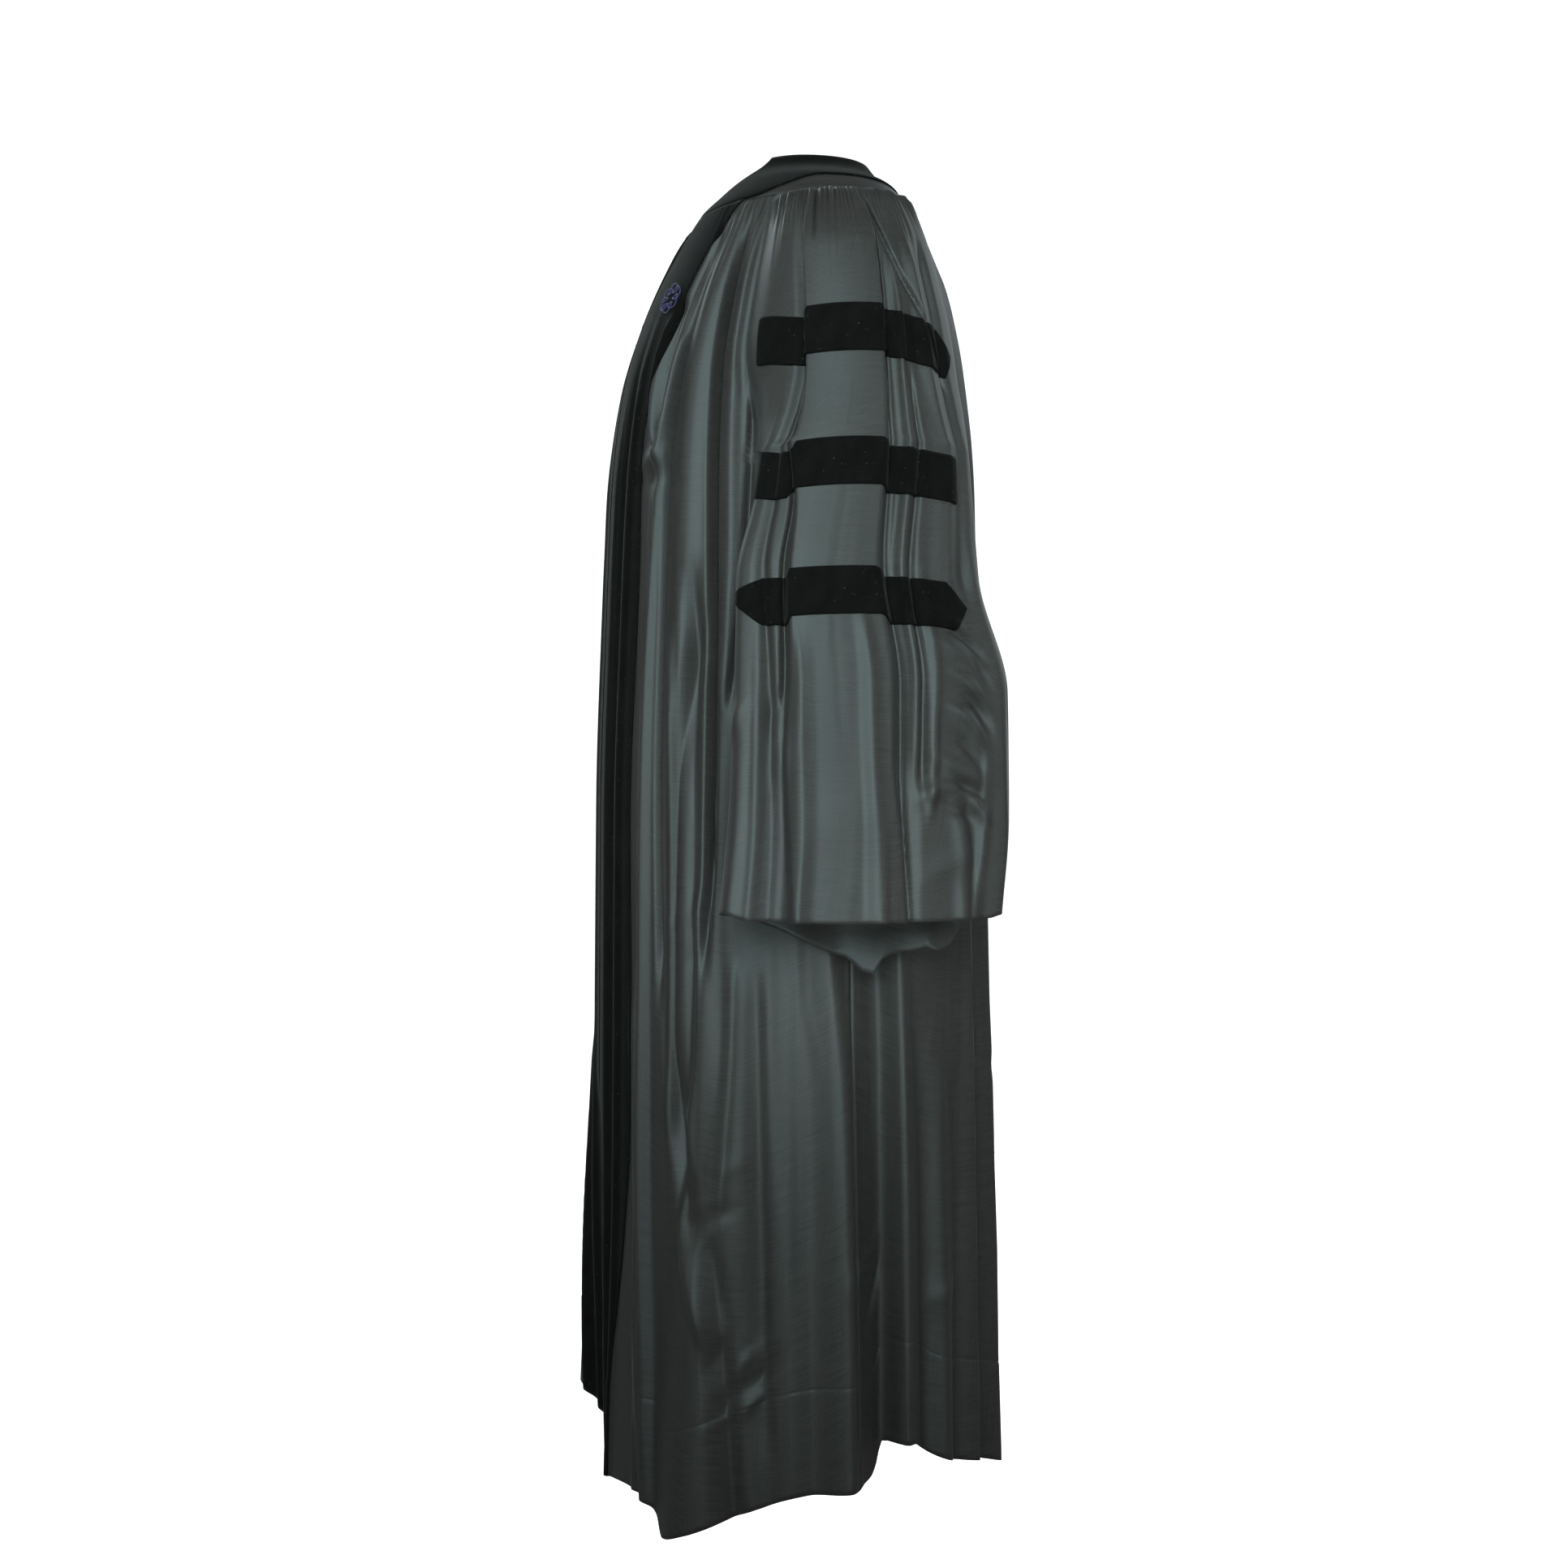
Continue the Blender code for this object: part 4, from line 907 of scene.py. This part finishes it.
# The chest motif: loops round a ring, a little flattened
LOBES = 6
RING = 0.0112
LOOP = 0.0052
MOTIF_FLATNESS = 0.92
MOTIF_POINTS = 300
CHEST_RADIUS = 0.172
CORD_SINK = 0.45            # share of the cord's thickness from the velvet to its middle
CROSSING_LIFT = 0.0008


def make_motif(side):
    """Couched cord in small loops round a ring, lifted a little where the cord crosses itself."""
    low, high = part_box(f"motif_{side}")
    sign = 1 if side == "left" else -1
    z_middle = (low.z + high.z) / 2
    x_middle = abs(low.x + high.x) / 2
    share = x_middle / through(FORM["z"], FORM["side"], z_middle)
    middle = math.degrees(math.asin(share ** (1 / ROUNDNESS)))
    t = np.linspace(0, 2 * np.pi, MOTIF_POINTS, endpoint=False)
    across = RING * np.cos(t) + LOOP * np.cos((LOBES + 1) * t + math.pi)
    up = RING * np.sin(t) + LOOP * np.sin((LOBES + 1) * t + math.pi)
    angle = sign * (middle + np.degrees(across / CHEST_RADIUS))
    z = z_middle + MOTIF_FLATNESS * up
    lift = (ON_PANEL + VELVET / 2 + CORD * CORD_SINK
            + CROSSING_LIFT * (1 + np.sin((2 * LOBES + 1) * t)))
    points = gown_point(angle, z) + form_out(angle, z) * lift[:, None]
    curve = bpy.data.curves.new(f"motif_{side}_cord", "CURVE")
    curve.dimensions = "3D"
    curve.bevel_depth = CORD / 2
    curve.bevel_resolution = 3
    line = curve.splines.new("POLY")
    line.points.add(MOTIF_POINTS - 1)
    line.use_cyclic_u = True
    line.points.foreach_set("co", np.column_stack([points, np.ones(MOTIF_POINTS)]).ravel())
    curve.materials.append(blue_cord)
    motif = bpy.data.objects.new(f"motif_{side}_cord", curve)
    gown.objects.link(motif)
    finish_piece(motif, "cord", f"motif_{side}")


for side in ("left", "right"):
    make_front(side)
    make_sleeve(side)
make_back()
make_yoke()
for side in ("left", "right"):
    make_motif(side)


# Studio. The camera looks level at the wearer's left side, turned a little from square
EYE_ANGLE = math.radians(12)
EYE_DISTANCE = 2.6
EYE_ASIDE = -0.0217
EYE_HEIGHT = -0.666
FLOOR = -1.60
FLOOR_REACH = 12.0
BACKDROP_BEHIND = 3.3
BACKDROP_HALF_WIDTH = 2.6
BACKDROP_TOP = 2.0
WHITE = (1.0, 1.0, 1.0, 1.0)
back_way = Vector((-math.cos(EYE_ANGLE), math.sin(EYE_ANGLE), 0))
side_way = Vector((math.sin(EYE_ANGLE), math.cos(EYE_ANGLE), 0))


def add_paper(name, corners, paper):
    data = bpy.data.meshes.new(name)
    data.from_pydata(corners, [], [(0, 1, 2, 3)])
    data.materials.append(paper)
    sheet = bpy.data.objects.new(name, data)
    bpy.context.scene.collection.objects.link(sheet)
    return sheet


def add_background():
    """A pale floor under the wearer's feet and a sheet hung behind, both bright enough to show white.
    The floor throws no light up at the gown."""
    paper = studio_material("white_paper", (0.90, 0.90, 0.90, 1), (0.93, 0.93, 0.93, 1))
    shader = paper.node_tree.nodes["Principled BSDF"]
    shader.inputs["Emission Color"].default_value = WHITE
    shader.inputs["Emission Strength"].default_value = 1.0
    middle, aside = back_way * BACKDROP_BEHIND, side_way * BACKDROP_HALF_WIDTH
    add_paper("backdrop", [middle + way + Vector((0, 0, z)) for way, z in
                           ((-aside, BACKDROP_TOP), (aside, BACKDROP_TOP), (aside, FLOOR), (-aside, FLOOR))],
              paper)
    floor = add_paper("floor", [Vector((FLOOR_REACH * x, FLOOR_REACH * y, FLOOR)) for x, y in
                                ((-1, -1), (1, -1), (1, 1), (-1, 1))], paper)
    floor.visible_diffuse = False
    floor.visible_glossy = False


def soft_light(name, place, aim, size, power, colour, spread):
    data = bpy.data.lights.new(name, "AREA")
    data.shape = "RECTANGLE"
    data.size, data.size_y = size
    data.energy = power
    data.color = colour
    data.spread = math.radians(spread)
    lamp = bpy.data.objects.new(name, data)
    lamp.location = place
    lamp.rotation_euler = (Vector(aim) - Vector(place)).to_track_quat("-Z", "Y").to_euler()
    bpy.context.scene.collection.objects.link(lamp)


def add_world():
    world = bpy.data.worlds.new("studio")
    world.use_nodes = True
    background = world.node_tree.nodes["Background"]
    background.inputs["Color"].default_value = (1.0, 0.95, 0.92, 1.0)
    background.inputs["Strength"].default_value = 0.115
    bpy.context.scene.world = world
    bpy.context.scene.view_settings.view_transform = "Standard"


def add_camera():
    data = bpy.data.cameras.new("camera")
    data.sensor_width = 36.0
    data.lens = 53.66
    camera = bpy.data.objects.new("camera", data)
    eye = -back_way * EYE_DISTANCE + side_way * EYE_ASIDE
    camera.location = (eye.x, eye.y, EYE_HEIGHT)
    camera.rotation_euler = back_way.to_track_quat("-Z", "Y").to_euler()
    bpy.context.scene.collection.objects.link(camera)
    bpy.context.scene.camera = camera


add_background()
soft_light("key", (2.4, -0.7, 0.18), (0.3, 0.0, -0.38), (1.8, 1.4), 7.9, (0.88, 0.98, 0.97), 50)
soft_light("front", (0.9, -2.6, 0.9), (0.1, 0.0, -0.30), (1.0, 1.4), 3.1, (0.90, 0.98, 0.97), 100)
soft_light("cuff", (2.2, -0.3, -1.40), (0.26, 0.0, -0.78), (0.3, 0.2), 0.10, (0.90, 0.98, 0.97), 13)
soft_light("fill", (2.0, 2.0, 0.1), (0.2, 0.0, -0.60), (0.9, 1.2), 1.6, (1.0, 0.96, 0.92), 90)
soft_light("far_side", (-2.4, -1.2, 1.2), (0.0, 0.0, -0.5), (1.6, 1.6), 15, (0.88, 0.98, 1.0), 120)
soft_light("behind", (-0.6, 2.6, 1.0), (0.0, 0.0, -0.6), (1.6, 1.6), 9, (0.90, 0.97, 1.0), 120)
add_world()
add_camera()
